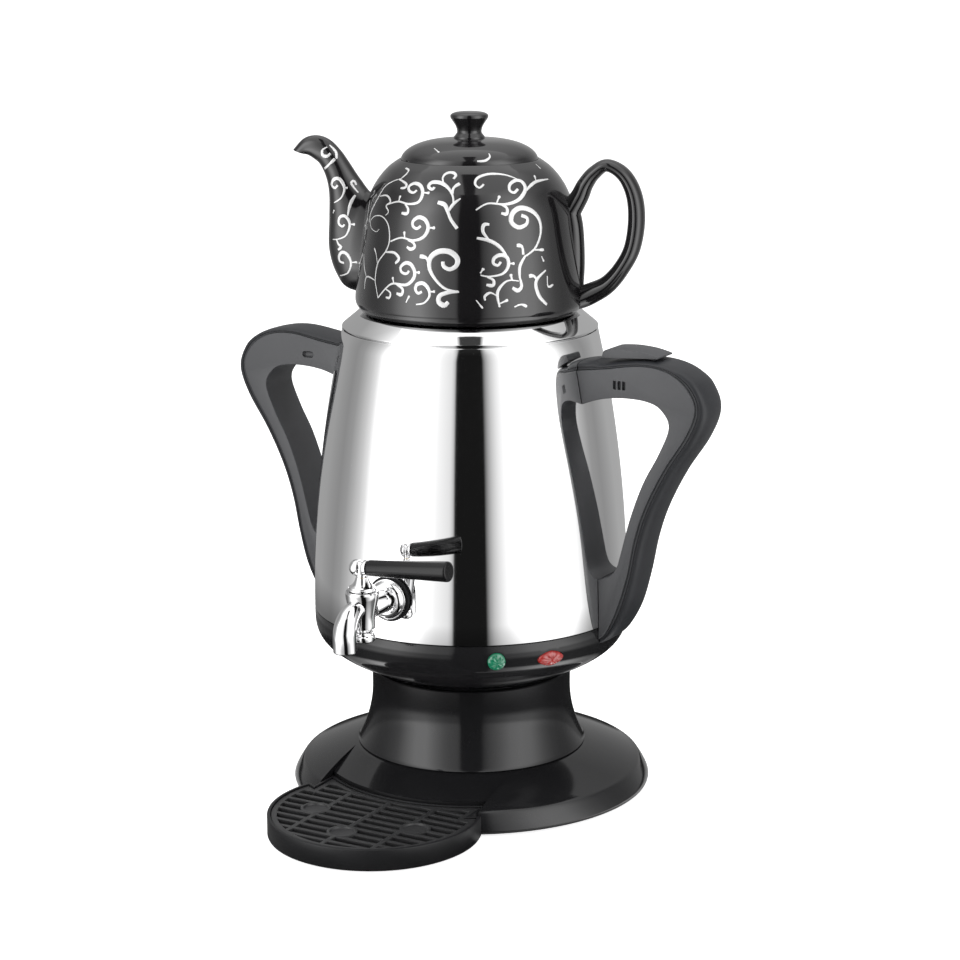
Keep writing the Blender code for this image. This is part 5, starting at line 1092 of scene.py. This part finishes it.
potLidSizes = {"edge": 0.0386, "edgeRise": 0.0006, "rise": 0.0114, "z": 0.0864, "seat": 0.0009,
               "knobFoot": 0.0087, "turns": (8, 76), "reachShape": 0.9, "riseShape": 1.1, "knobSteps": 5,
               "knob": ((0.0089, 0.0002), (0.0086, 0.0011), (0.0072, 0.0029), (0.0069, 0.0042),
                        (0.0076, 0.0068), (0.0092, 0.0094), (0.0104, 0.0112), (0.0107, 0.0122),
                        (0.0103, 0.0134), (0.0080, 0.0145), (0.0040, 0.0150), (0.0, 0.0150)),
               "under": ((0, 0.003), (0.023, 0.0062)), "plug": (0.0312, 0.0339), "plugDeep": 0.006}


def potLidSide(steps=18):
    s = potLidSizes
    first, last = s["turns"]
    points = []
    for step in range(steps + 1):
        turn = math.radians(first + (last - first) * step / steps)
        points.append((s["knobFoot"] + (s["edge"] - s["knobFoot"]) * math.cos(turn) ** s["reachShape"],
                       s["z"] + s["rise"] * math.sin(turn) ** s["riseShape"]))
    return points


def makePotLid():
    s = potLidSizes
    top, seat = s["z"] + s["rise"], s["z"] - s["seat"]
    outline = [(s["edge"], seat), (s["edge"], s["z"] + s["edgeRise"])] + potLidSide()
    outline += spline(raised(s["knob"], top), s["knobSteps"]) + raised(s["under"], top, -1)
    inside, outside = s["plug"]
    deep = seat - s["plugDeep"]
    outline += [(inside, seat), (inside, deep), (outside, deep), (outside, seat)]
    lid = placed(turned("potLid", outline), potPlace())
    finished(lid, "porcelainLid", blackGlaze, "pot_lid", "porcelain", "teapot_lid")
    return lid


# ---- silver scrolls ----
# each stroke: kind, widest width, then places across and above the pot's foot as drawn from the front, in mm
bodyStrokes = (
    ("s", 2.3, -45.0, 39.7, -38.8, 41.8, -32.1, 40.2, -26.3, 42.1, -23.5, 47.1, -25.0, 51.7, -28.7, 53.4,
     -32.0, 51.3, -32.2, 48.4, -30.0, 46.9, -27.7, 48.4),
    ("b", 1.9, -23.3, 47.4, -19.6, 47.3),
    ("b", 1.9, -36.9, 41.6, -37.1, 45.3),
    ("h", 2.0, -35.0, 40.3, -32.0, 38.8, -31.3, 36.3, -33.7, 35.2, -35.7, 36.6),
    ("s", 2.2, -46.2, 60.8, -40.2, 62.3, -34.4, 60.9, -28.8, 62.1, -26.5, 67.1, -27.7, 71.2, -31.0, 72.6,
     -34.2, 70.8, -34.0, 68.3, -31.7, 67.3, -29.8, 68.7),
    ("b", 1.8, -26.1, 67.3, -22.6, 67.1),
    ("b", 1.7, -40.1, 62.3, -39.1, 65.7),
    ("h", 2.0, -36.5, 60.9, -34.8, 58.0, -35.5, 55.5, -38.5, 55.8),
    ("s", 2.2, -52.5, 7.4, -48.3, 12.5, -44.0, 15.6, -36.5, 14.8, -32.2, 18.3, -31.5, 22.5, -33.5, 26.5,
     -36.6, 27.4, -39.4, 25.0, -38.8, 22.1, -36.1, 21.2, -34.6, 22.9),
    ("b", 1.8, -31.5, 22.1, -28.4, 21.8),
    ("b", 1.6, -43.4, 15.8, -44.0, 19.3),
    ("h", 2.1, -41.7, 15.0, -38.4, 12.4, -39.1, 9.2, -41.8, 9.9),
    ("h", 1.5, -47.8, 12.3, -45.4, 10.3, -46.0, 7.4, -47.9, 7.8),
    ("s", 2.2, -30.8, 3.5, -26.2, 4.4, -23.2, 8.1, -23.6, 12.4, -26.5, 15.6, -30.0, 15.1, -31.1, 12.4,
     -29.7, 10.0, -27.4, 10.9),
    ("b", 1.7, -22.8, 10.8, -19.9, 10.9),
    ("b", 1.5, -36.5, 4.7, -34.6, 8.6),
    ("s", 2.2, 6.1, 20.2, 11.1, 19.4, 18.6, 21.0, 21.9, 25.6, 21.1, 30.3, 17.3, 31.7, 13.8, 29.9, 13.4,
     26.9, 15.9, 25.8, 17.6, 27.8),
    ("b", 1.8, 22.1, 26.9, 25.4, 26.8),
    ("h", 2.0, 9.8, 19.2, 13.4, 17.3, 13.1, 14.3, 9.4, 14.6),
    ("b", 1.6, 5.9, 21.3, 7.9, 24.2),
    ("s", 2.3, 3.5, 57.3, 10.3, 61.0, 20.3, 60.5, 27.7, 63.1, 31.4, 68.5, 30.2, 72.7, 26.5, 74.1, 22.9,
     71.9, 22.6, 68.5, 25.1, 67.1, 27.3, 69.1),
    ("h", 2.0, 16.5, 60.9, 20.9, 58.6, 20.9, 55.0, 17.9, 55.5),
    ("b", 1.7, 15.3, 61.5, 17.0, 65.4),
    ("s", 3.1, -6.3, 10.6, -14.0, 12.5, -19.6, 17.8, -22.9, 24.1, -22.4, 30.2, -17.6, 33.8, -11.4, 33.6,
     -7.2, 29.9, -7.7, 25.8, -11.4, 23.6, -14.9, 25.4, -15.3, 28.1),
    ("c", 2.6, -23.1, 26.5, -24.7, 30.2, -28.4, 31.2),
    ("h", 3.0, -6.9, 10.8, -12.5, 10.3, -17.2, 8.5, -17.8, 4.9, -14.7, 2.9, -12.4, 4.9),
    ("s", 2.9, 31.1, 30.6, 37.1, 35.6, 40.2, 44.0, 39.3, 51.9, 34.8, 56.9, 28.6, 58.4, 24.2, 55.3, 23.7,
     50.3, 27.7, 47.4, 32.1, 49.2, 32.5, 52.7, 29.2, 54.2),
    ("c", 2.4, 30.4, 31.9, 29.6, 36.5, 26.6, 37.2),
    ("b", 1.8, 35.6, 34.6, 42.1, 34.6),
    ("t", 2.0, 31.6, 31.3, 28.6, 25.6, 28.3, 19.7, 29.4, 14.7),
    ("h", 2.4, 28.4, 18.9, 29.4, 13.8, 27.3, 11.3, 24.2, 12.9),
    ("s", 1.7, 27.9, 16.8, 21.9, 17.1, 17.7, 13.9, 15.6, 9.3, 16.9, 1.8),
    ("c", 1.9, 24.0, 17.1, 23.2, 20.8),
    ("s", 1.5, 15.2, 8.4, 11.5, 10.1, 8.4, 8.0, 8.7, 5.7),
    ("b", 1.7, 17.1, 3.9, 21.7, 6.0),
    ("c", 2.7, -7.1, 46.9, -10.5, 51.7, -12.5, 56.7, -14.1, 60.4, -18.0, 61.8),
    ("t", 1.9, -11.9, 56.8, -9.2, 60.8, -5.1, 63.9),
    ("s", 2.5, -9.3, 60.8, -9.4, 64.9, -12.0, 69.8, -16.1, 72.7, -20.9, 73.1, -23.2, 70.8, -21.1, 69.0,
     -19.9, 70.4),
    ("s", 2.1, -14.5, 72.2, -15.1, 75.7, -12.8, 78.2, -9.3, 78.5, -7.7, 76.9, -9.1, 75.0),
    ("c", 2.2, -9.8, 66.4, -9.0, 69.9, -5.5, 72.4),
    ("t", 0.9, -52.5, 7.4, -53.4, 13.3, -53.9, 18.4, -52.2, 27.6, -47.6, 34.3, -45.6, 40.1, -46.0, 48.5,
     -49.0, 53.5, -53.2, 54.3, -56.1, 51.4, -55.7, 47.3, -52.9, 45.2, -51.3, 46.8),
    ("h", 2.0, -47.6, 33.6, -43.0, 33.3, -40.3, 29.9, -42.4, 27.2),
    ("b", 1.0, -52.6, 27.6, -53.2, 32.6, -54.2, 36.0),
    ("t", 0.9, -53.9, 17.4, -58.8, 19.6, -60.1, 12.5),
    ("t", 0.8, -59.0, 19.7, -60.0, 25.1, -60.1, 32.7),
    ("t", 1.0, -56.9, 50.6, -55.6, 56.8, -51.8, 64.3, -47.6, 70.9, -42.6, 74.0, -38.4, 75.4, -34.9,
     78.1),
    ("c", 1.3, -38.4, 75.4, -34.3, 79.5, -35.9, 81.2),
    ("h", 1.8, -39.7, 75.0, -35.8, 72.3, -36.3, 70.2, -38.9, 69.9),
    ("t", 1.2, -50.5, 65.4, -46.6, 65.7, -44.7, 62.2, -47.2, 59.9, -45.9, 56.6, -47.6, 54.5),
    ("s", 1.7, 31.2, 69.6, 28.1, 73.9, 20.3, 77.1, 11.2, 77.7, 4.7, 75.6, 3.1, 72.2, 5.5, 69.9, 8.0,
     71.9),
    ("t", 1.9, 31.9, 68.3, 37.0, 73.0, 44.4, 74.7),
    ("b", 1.5, 37.8, 73.0, 36.6, 76.8),
    ("t", 2.2, 4.0, 41.4, 11.1, 39.9, 16.9, 36.4, 21.2, 30.5, 21.9, 27.3),
    ("h", 2.1, 11.1, 40.1, 7.6, 44.8, 8.0, 48.9, 11.1, 49.1),
    ("t", 2.5, 43.8, 3.2, 39.6, 7.9, 37.6, 13.8, 38.4, 18.0, 43.2, 22.9),
    ("c", 2.4, 38.3, 17.3, 36.3, 19.7, 33.6, 19.5),
    ("b", 1.7, 25.4, 1.8, 29.0, 3.3, 32.6, 2.1),
    ("b", 1.2, 3.5, 5.9, 7.3, 1.1),
    ("b", 1.3, 40.7, 31.0, 42.1, 27.9),
    ("b", 1.4, 44.0, 19.7, 44.5, 13.6, 47.4, 14.6),
    ("b", 1.1, 37.4, 83.1, 40.1, 80.5),
)
spoutStrokes = (
    ("c", 2.0, -81.6, 81.0, -75.7, 86.4),
    ("t", 1.8, -74.8, 86.6, -75.1, 90.5, -78.6, 94.3),
    ("s", 2.0, -79.9, 93.2, -82.7, 91.3, -82.5, 88.4, -79.9, 88.0, -78.2, 89.6),
    ("s", 2.0, -76.6, 61.8, -72.4, 64.7, -70.6, 70.1, -73.3, 75.1, -76.6, 74.9, -77.8, 71.9, -76.0, 70.0,
     -74.4, 71.7),
    ("b", 1.4, -70.6, 70.3, -68.7, 70.1),
    ("t", 2.0, -64.5, 66.0, -67.3, 61.2, -69.0, 54.4),
    ("s", 1.8, -77.6, 41.0, -74.5, 41.1, -70.0, 43.4, -67.8, 49.6, -70.2, 54.0, -73.3, 53.7, -74.2, 50.3,
     -72.3, 48.2, -70.8, 49.4),
    ("b", 1.6, -67.6, 49.6, -64.9, 49.4),
    ("h", 1.8, -75.5, 40.8, -74.4, 38.0, -72.9, 36.8, -74.7, 35.0),
    ("s", 2.0, -73.8, 20.2, -69.3, 21.9, -67.5, 27.5, -69.5, 32.2, -72.6, 33.6, -74.3, 31.3, -73.7, 28.3,
     -71.4, 27.5),
    ("b", 1.6, -67.5, 27.8, -63.9, 27.8),
    ("h", 1.6, -62.8, 67.4, -65.0, 70.1, -66.8, 72.9, -65.0, 74.0, -63.8, 71.8),
    ("b", 1.2, -77.3, 55.8, -76.6, 57.7),
)
lidStrokes = (
    ("t", 1.6, 4.3, 84.8, 8.7, 85.1, 11.5, 87.2, 10.9, 89.2),
    ("b", 1.1, -19.8, 92.2, -17.0, 89.8),
)
# thickness along a stroke, as (share of its length, share of its widest width)
strokeKinds = {
    "s": ((0, 0.34), (0.25, 0.50), (0.50, 0.96), (0.70, 1.0), (0.88, 0.72), (1, 0.66)),
    "t": ((0, 0.60), (0.30, 0.95), (0.60, 0.90), (1, 0.36)),
    "b": ((0, 0.46), (0.55, 0.54), (0.80, 1.0), (0.94, 1.0), (1, 0.6)),
    "c": ((0, 0.70), (0.50, 0.62), (0.85, 1.0), (1, 0.75)),
    "h": ((0, 0.46), (0.40, 0.80), (0.80, 1.0), (1, 0.66)),
}
# sides and flatness of a stroke, unit of its width, spacing of its points, the leap that breaks it,
# fewest points drawn and fewest kept
vineSizes = {"curveSteps": 6,
             "sides": 12, "relief": 0.13, "unit": 0.001, "step": 0.0007, "jump": 0.004, "fewest": 8,
             "shortest": 3}


def shareOn(steps, place):
    for (a, low), (b, high) in zip(steps, steps[1:]):
        if a <= place <= b:
            return low + (high - low) * (place - a) / (b - a)
    return steps[-1][1]


def cameraSpot():
    c = cameraSizes
    turn = math.radians(c["azimuth"])
    return turn, Vector((c["distance"] * math.sin(turn), -c["distance"] * math.cos(turn), c["height"]))


def carried(strokes, ground):
    # takes flat strokes along the lines of sight onto the glaze, and again mirrored onto its other side
    v = vineSizes
    turn, eye = cameraSpot()
    across = Vector((math.cos(turn), math.sin(turn), 0))
    tree = BVHTree.FromPolygons([vertex.co for vertex in ground.data.vertices],
                                [polygon.vertices for polygon in ground.data.polygons])
    result = []
    for kind, width, *places in strokes:
        drawn = spline([(x / 1000, z / 1000) for x, z in zip(places[::2], places[1::2])], v["curveSteps"])
        length = sum(math.dist(a, b) for a, b in zip(drawn, drawn[1:]))
        drawn = resample(drawn, max(v["fewest"], int(length / v["step"])))
        run = []
        for index, (x, z) in enumerate(drawn):
            target = across * x + Vector((0, 0, potSizes["z"] + z))
            spot = tree.ray_cast(eye, (target - eye).normalized())[0]
            if run and (spot is None or (spot - run[-1][0]).length > v["jump"]):
                result.append(run)
                run = []
            if spot is not None:
                run.append((spot, width / 2 * shareOn(strokeKinds[kind], index / (len(drawn) - 1))))
        result.append(run)
    result = [run for run in result if len(run) > v["shortest"]]
    toPot = potPlace().inverted()
    mirror = toPot.inverted() @ Matrix.Diagonal((1, -1, 1, 1)) @ toPot
    return result + [[(mirror @ spot, radius) for spot, radius in run] for run in result]


def vineTree():
    # strokes become round ribs, pressed down onto the glaze until only a low relief is left
    tree, given, result, node = newTree("silverVines", [
        ("Ground", "Object", None), ("Thick", "Float", 0.001), ("Relief", "Float", 0.15), ("Sides", "Int", 8),
        ("Finish", "Material", None)])
    ground = node("GeometryNodeObjectInfo", {"Object": given["Ground"]})
    circle = node("GeometryNodeCurvePrimitiveCircle", {"Resolution": given["Sides"], "Radius": given["Thick"]})
    rib = node("GeometryNodeCurveToMesh", {"Curve": given["Geometry"], "Profile Curve": circle.outputs[0],
                                           "Fill Caps": True})
    if "Scale" in rib.inputs:
        tree.links.new(node("GeometryNodeInputRadius").outputs[0], rib.inputs["Scale"])
    nearest = node("GeometryNodeProximity", {0: ground.outputs["Geometry"]}, target_element="FACES")
    here = node("GeometryNodeInputPosition")
    surface = nearest.outputs["Position"]
    away = node("ShaderNodeVectorMath", {0: here.outputs[0], 1: surface}, operation="SUBTRACT")
    low = node("ShaderNodeVectorMath", {0: away.outputs[0], "Scale": given["Relief"]}, operation="SCALE")
    spot = node("ShaderNodeVectorMath", {0: surface, 1: low.outputs[0]}, operation="ADD")
    pressed = node("GeometryNodeSetPosition", {"Geometry": rib.outputs[0], "Position": spot.outputs[0]})
    smooth = node("GeometryNodeSetShadeSmooth", {0: pressed.outputs[0]})
    real = node("GeometryNodeRealizeInstances", {"Geometry": smooth.outputs[0]})
    return painted(tree, given, result, node, real.outputs[0])


def strokesObject(name, runs):
    data = bpy.data.curves.new(name, "CURVE")
    data.dimensions = "3D"
    for run in runs:
        line = data.splines.new("POLY")
        line.points.add(len(run) - 1)
        for point, (spot, radius) in zip(line.points, run):
            point.co = (*spot, 1.0)
            point.radius = radius
    return linked(name, data)


def makeVines(name, strokes, ground, body):
    runs = carried(strokes, ground)
    v = vineSizes
    vines = grown(name, vineTree(), strokesObject(name + "Strokes", runs), {
        "Ground": ground, "Thick": v["unit"], "Relief": v["relief"], "Sides": v["sides"],
        "Finish": silverEnamel})
    finished(vines, name, silverEnamel, body)
    print(name, "strokes:", len(runs))


pot = makePot()
potLid = makePotLid()
makeVines("silverScrolls", bodyStrokes + spoutStrokes, pot, "teapot")
makeVines("silverLidScrolls", lidStrokes, potLid, "pot_lid")
print("teapot made")


# ---- solids that stay, with their finishes ----
kept = (
    (traySatin, "base_bottom_cover"),
    (rubber, "foot_rear_right foot_rear_left foot_front_left foot_front_right cord_gland tap_inner_gasket"),
    (plainSteel, "clamp_plate tie_rod tie_nut heating_element thermal_fuse switch_pin"),
    (plainSteel, "handle_screw_upper_left handle_screw_lower_left"),
    (plainSteel, "handle_screw_upper_right handle_screw_lower_right"),
    (castAluminium, "heater_plate"), (moulding, "boil_thermostat keep_warm_thermostat"),
    (brass, "tap_lock_nut tap_plug"),
)
for look, nodeNames in kept:
    for nodeName in nodeNames.split():
        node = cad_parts[nodeName]
        for slot in node.material_slots:
            slot.material = look
        if not node.material_slots:
            node.data.materials.append(look)


# ---- camera ----
def makeCamera():
    c = cameraSizes
    data = bpy.data.cameras.new("studioCamera")
    data.sensor_width = sensorWidth
    data.lens = c["focal"]
    data.shift_x = c["shift"]
    data.clip_end = c["far"]
    camera = linked("studioCamera", data)
    turn, eye = cameraSpot()
    camera.matrix_world = (Matrix.Translation(eye) @ Matrix.Rotation(turn, 4, "Z")
                           @ Matrix.Rotation(math.radians(90 - c["pitch"]), 4, "X")
                           @ Matrix.Rotation(math.radians(c["roll"]), 4, "Z"))
    bpy.context.scene.camera = camera


# ---- studio ----
studio = {"floorZ": -0.0018, "floorDeep": 0.01, "floor": 40.0, "floorTone": 0.86, "floorRough": 0.9,
          "floorGlow": 0.86, "diffuse": 0.50}
# name, place, size, power; all of them point at the samovar's middle
studioLamps = (("keyLamp", (-0.9, -1.5, 1.5), (0.9, 1.2), 17.0),
               ("sideLamp", (1.9, -0.5, 1.1), (0.9, 1.2), 12.0),
               ("topLamp", (0.1, 0.3, 2.0), (1.2, 1.2), 16.0))
lampTarget = Vector((0, 0, 0.2))
# what polished surfaces see round the camera's side: azimuth from the camera in degrees, light level
room = {
    "radius": 2.2, "height": 3.3, "inner": 0.112, "floorZ": -0.0014, "faces": 96, "wall": 0.01, "sheet": 0.0001,
    "most": 3.2, "ceiling": 1.3, "gapLevel": 0.055, "gap": 0.31, "gapEdge": 0.05, "low": 1.5,
    "levels": (
        (-135, 0.37), (-114, 0.29), (-104, 0.35), (-97, 0.48), (-90, 0.66), (-84, 0.90), (-79, 1.35),
        (-72, 2.1), (-62, 3.1), (-50, 3.2), (-38, 2.0), (-30, 1.35), (-24, 1.08), (-15, 0.88), (-12.8, 0.62),
        (-11.2, 0.010), (10.0, 0.010), (12.2, 0.32), (15.6, 0.62), (20, 0.92), (26, 1.25), (33, 1.7),
        (42, 2.4), (54, 2.7), (66, 2.4), (80, 1.2), (86, 0.85), (94, 0.52), (104, 0.34), (114, 0.30),
        (135, 0.42)),
    # higher up the walls are brighter at the sides and back
    "highLevels": (
        (-180, 0.85), (-128, 0.90), (-104, 1.5), (-40, 1.5), (-17, 1.1), (-11.5, 0.03), (10.5, 0.03), (16, 1.1),
        (40, 1.5), (104, 1.4), (128, 0.85), (180, 0.85)),
    # on the floor: distance from the axis, share of the light level
    "floorShares": (
        (0, 1.2), (0.135, 1.2), (0.150, 0.06), (0.245, 0.06), (0.30, 0.5), (0.42, 0.5), (0.54, 1.0)),
}


def stageOnly(piece):
    # seen in reflections and nowhere else
    piece.visible_camera = False
    piece.visible_diffuse = False
    piece.visible_shadow = False
    piece.visible_transmission = False


def emitter(name):
    # a glow that lights nothing by itself, with the axes of its own coordinates
    material = bpy.data.materials.new(name)
    material.use_nodes = True
    material.cycles.emission_sampling = "NONE"
    tree = material.node_tree
    tree.nodes.clear()
    node = nodeMaker(tree)
    light = node("ShaderNodeEmission")
    node("ShaderNodeOutputMaterial", {"Surface": light.outputs[0]})
    place = node("ShaderNodeTexCoord")
    return material, light, node, node("ShaderNodeSeparateXYZ", {0: place.outputs["Object"]}).outputs


def levelRamp(node, value, stops, most):
    ramp = node("ShaderNodeValToRGB", {"Fac": value})
    elements = ramp.color_ramp.elements
    while len(elements) < len(stops):
        elements.new(0.5)
    for element, (position, level) in zip(elements, stops):
        element.position = position
        element.color = (level / most, level / most, level / most, 1)
    return ramp.outputs["Color"]


def makeWalls():
    r = room
    radius, outside, low, under = r["radius"], r["radius"] + r["wall"], r["floorZ"], r["floorZ"] - r["sheet"]
    outline = [(r["inner"], low), (radius, low), (radius, r["height"]), (outside, r["height"]),
               (outside, under), (r["inner"], under)]
    walls = turned("reflectionWalls", outline, r["faces"])
    material, light, node, (x, y, z) = emitter("panelGlow")
    front = node("ShaderNodeMath", {0: y, 1: -1.0}, operation="MULTIPLY")
    azimuth = node("ShaderNodeMath", {0: x, 1: front.outputs[0]}, operation="ARCTAN2")
    share = node("ShaderNodeMapRange", {"Value": azimuth.outputs[0], "From Min": -math.pi, "From Max": math.pi})
    lower, upper = [levelRamp(node, share.outputs[0], [((turn + 180) / 360, level) for turn, level in r[key]],
                              r["most"]) for key in ("levels", "highLevels")]
    rise = node("ShaderNodeMapRange", {"Value": z, "From Min": r["low"], "From Max": r["height"]})
    wall = node("ShaderNodeMix", {"Factor": rise.outputs[0], "A": lower, "B": upper}, data_type="RGBA")
    flat = node("ShaderNodeCombineXYZ", {"X": x, "Y": y})
    reach = node("ShaderNodeVectorMath", {0: flat.outputs[0]}, operation="LENGTH")
    far = node("ShaderNodeMath", {0: reach.outputs["Value"], 1: 1.0}, operation="MINIMUM")
    near = levelRamp(node, far.outputs[0], r["floorShares"], 1.0)
    strength = node("ShaderNodeMath", {0: near, 1: r["most"]}, operation="MULTIPLY")
    wire(material.node_tree, light, {"Color": wall.outputs["Result"], "Strength": strength.outputs[0]})
    return walls, material


def makeCeiling():
    r = room
    ceiling = plug("reflectionCeiling", r["height"], r["radius"], r["height"] + r["wall"], r["faces"])
    material, light, node, (x, y, z) = emitter("ceilingGlow")
    side = node("ShaderNodeMath", {0: x}, operation="ABSOLUTE")
    beside = node("ShaderNodeMapRange", {"Value": side.outputs[0], "From Min": r["gap"] - r["gapEdge"],
                                         "From Max": r["gap"] + r["gapEdge"]})
    behind = node("ShaderNodeMath", {0: y, 1: 0.0}, operation="GREATER_THAN")
    clear = node("ShaderNodeMath", {0: beside.outputs[0], 1: behind.outputs[0]}, operation="MAXIMUM")
    shown = node("ShaderNodeMapRange", {"Value": clear.outputs[0], "To Min": r["gapLevel"],
                                        "To Max": r["ceiling"]})
    wire(material.node_tree, light, {"Strength": shown.outputs[0]})
    return ceiling, material


def makeRoom():
    # walls, floor and ceiling that only polished surfaces see, turned to face the camera
    for piece, glow in (makeWalls(), makeCeiling()):
        piece.matrix_world = Matrix.Rotation(math.radians(cameraSizes["azimuth"]), 4, "Z")
        piece.data.materials.append(glow)
        stageOnly(piece)


def makeFloor():
    s = studio
    reach, tone = s["floor"], s["floorTone"]
    floor = box("studioFloor", (-reach, -reach, s["floorZ"] - s["floorDeep"]), (reach, reach, s["floorZ"]))
    material = bpy.data.materials.new("paleFloor")
    material.use_nodes = True
    tree = material.node_tree
    node = nodeMaker(tree)
    path = node("ShaderNodeLightPath")
    glow = node("ShaderNodeMath", {0: path.outputs["Is Camera Ray"], 1: s["floorGlow"]}, operation="MULTIPLY")
    wire(tree, tree.nodes["Principled BSDF"], {
        "Base Color": (tone, tone, tone, 1), "Roughness": s["floorRough"], "Specular IOR Level": 0.0,
        "Emission Color": (1, 1, 1, 1), "Emission Strength": glow.outputs[0]})
    floor.data.materials.append(material)


def makeLamp(name, place, size, power):
    data = bpy.data.lights.new(name, "AREA")
    data.shape = "RECTANGLE"
    data.size, data.size_y = size
    data.energy = power
    lamp = linked(name, data)
    lamp.location = place
    lamp.rotation_euler = (lampTarget - Vector(place)).to_track_quat("-Z", "Y").to_euler()
    lamp.visible_glossy = False


def makeWorld():
    # white to the camera and in reflections, dimmer as a light
    world = bpy.data.worlds.new("whiteStudio")
    bpy.context.scene.world = world
    world.use_nodes = True
    tree = world.node_tree
    node = nodeMaker(tree)
    path = node("ShaderNodeLightPath").outputs
    seen = node("ShaderNodeMath", {0: path["Is Camera Ray"], 1: path["Is Glossy Ray"]}, operation="MAXIMUM")
    clear = node("ShaderNodeMath", {0: seen.outputs[0], 1: path["Is Transmission Ray"]}, operation="MAXIMUM")
    level = node("ShaderNodeMapRange", {"To Min": studio["diffuse"], "To Max": 1.0, "Value": clear.outputs[0]})
    wire(tree, tree.nodes["Background"], {"Color": (1, 1, 1, 1), "Strength": level.outputs["Result"]})


makeCamera()
makeWorld()
makeFloor()
makeRoom()
for name, place, size, power in studioLamps:
    makeLamp(name, place, size, power)
bpy.context.scene.view_settings.view_transform = "Standard"
print("camera and studio made")
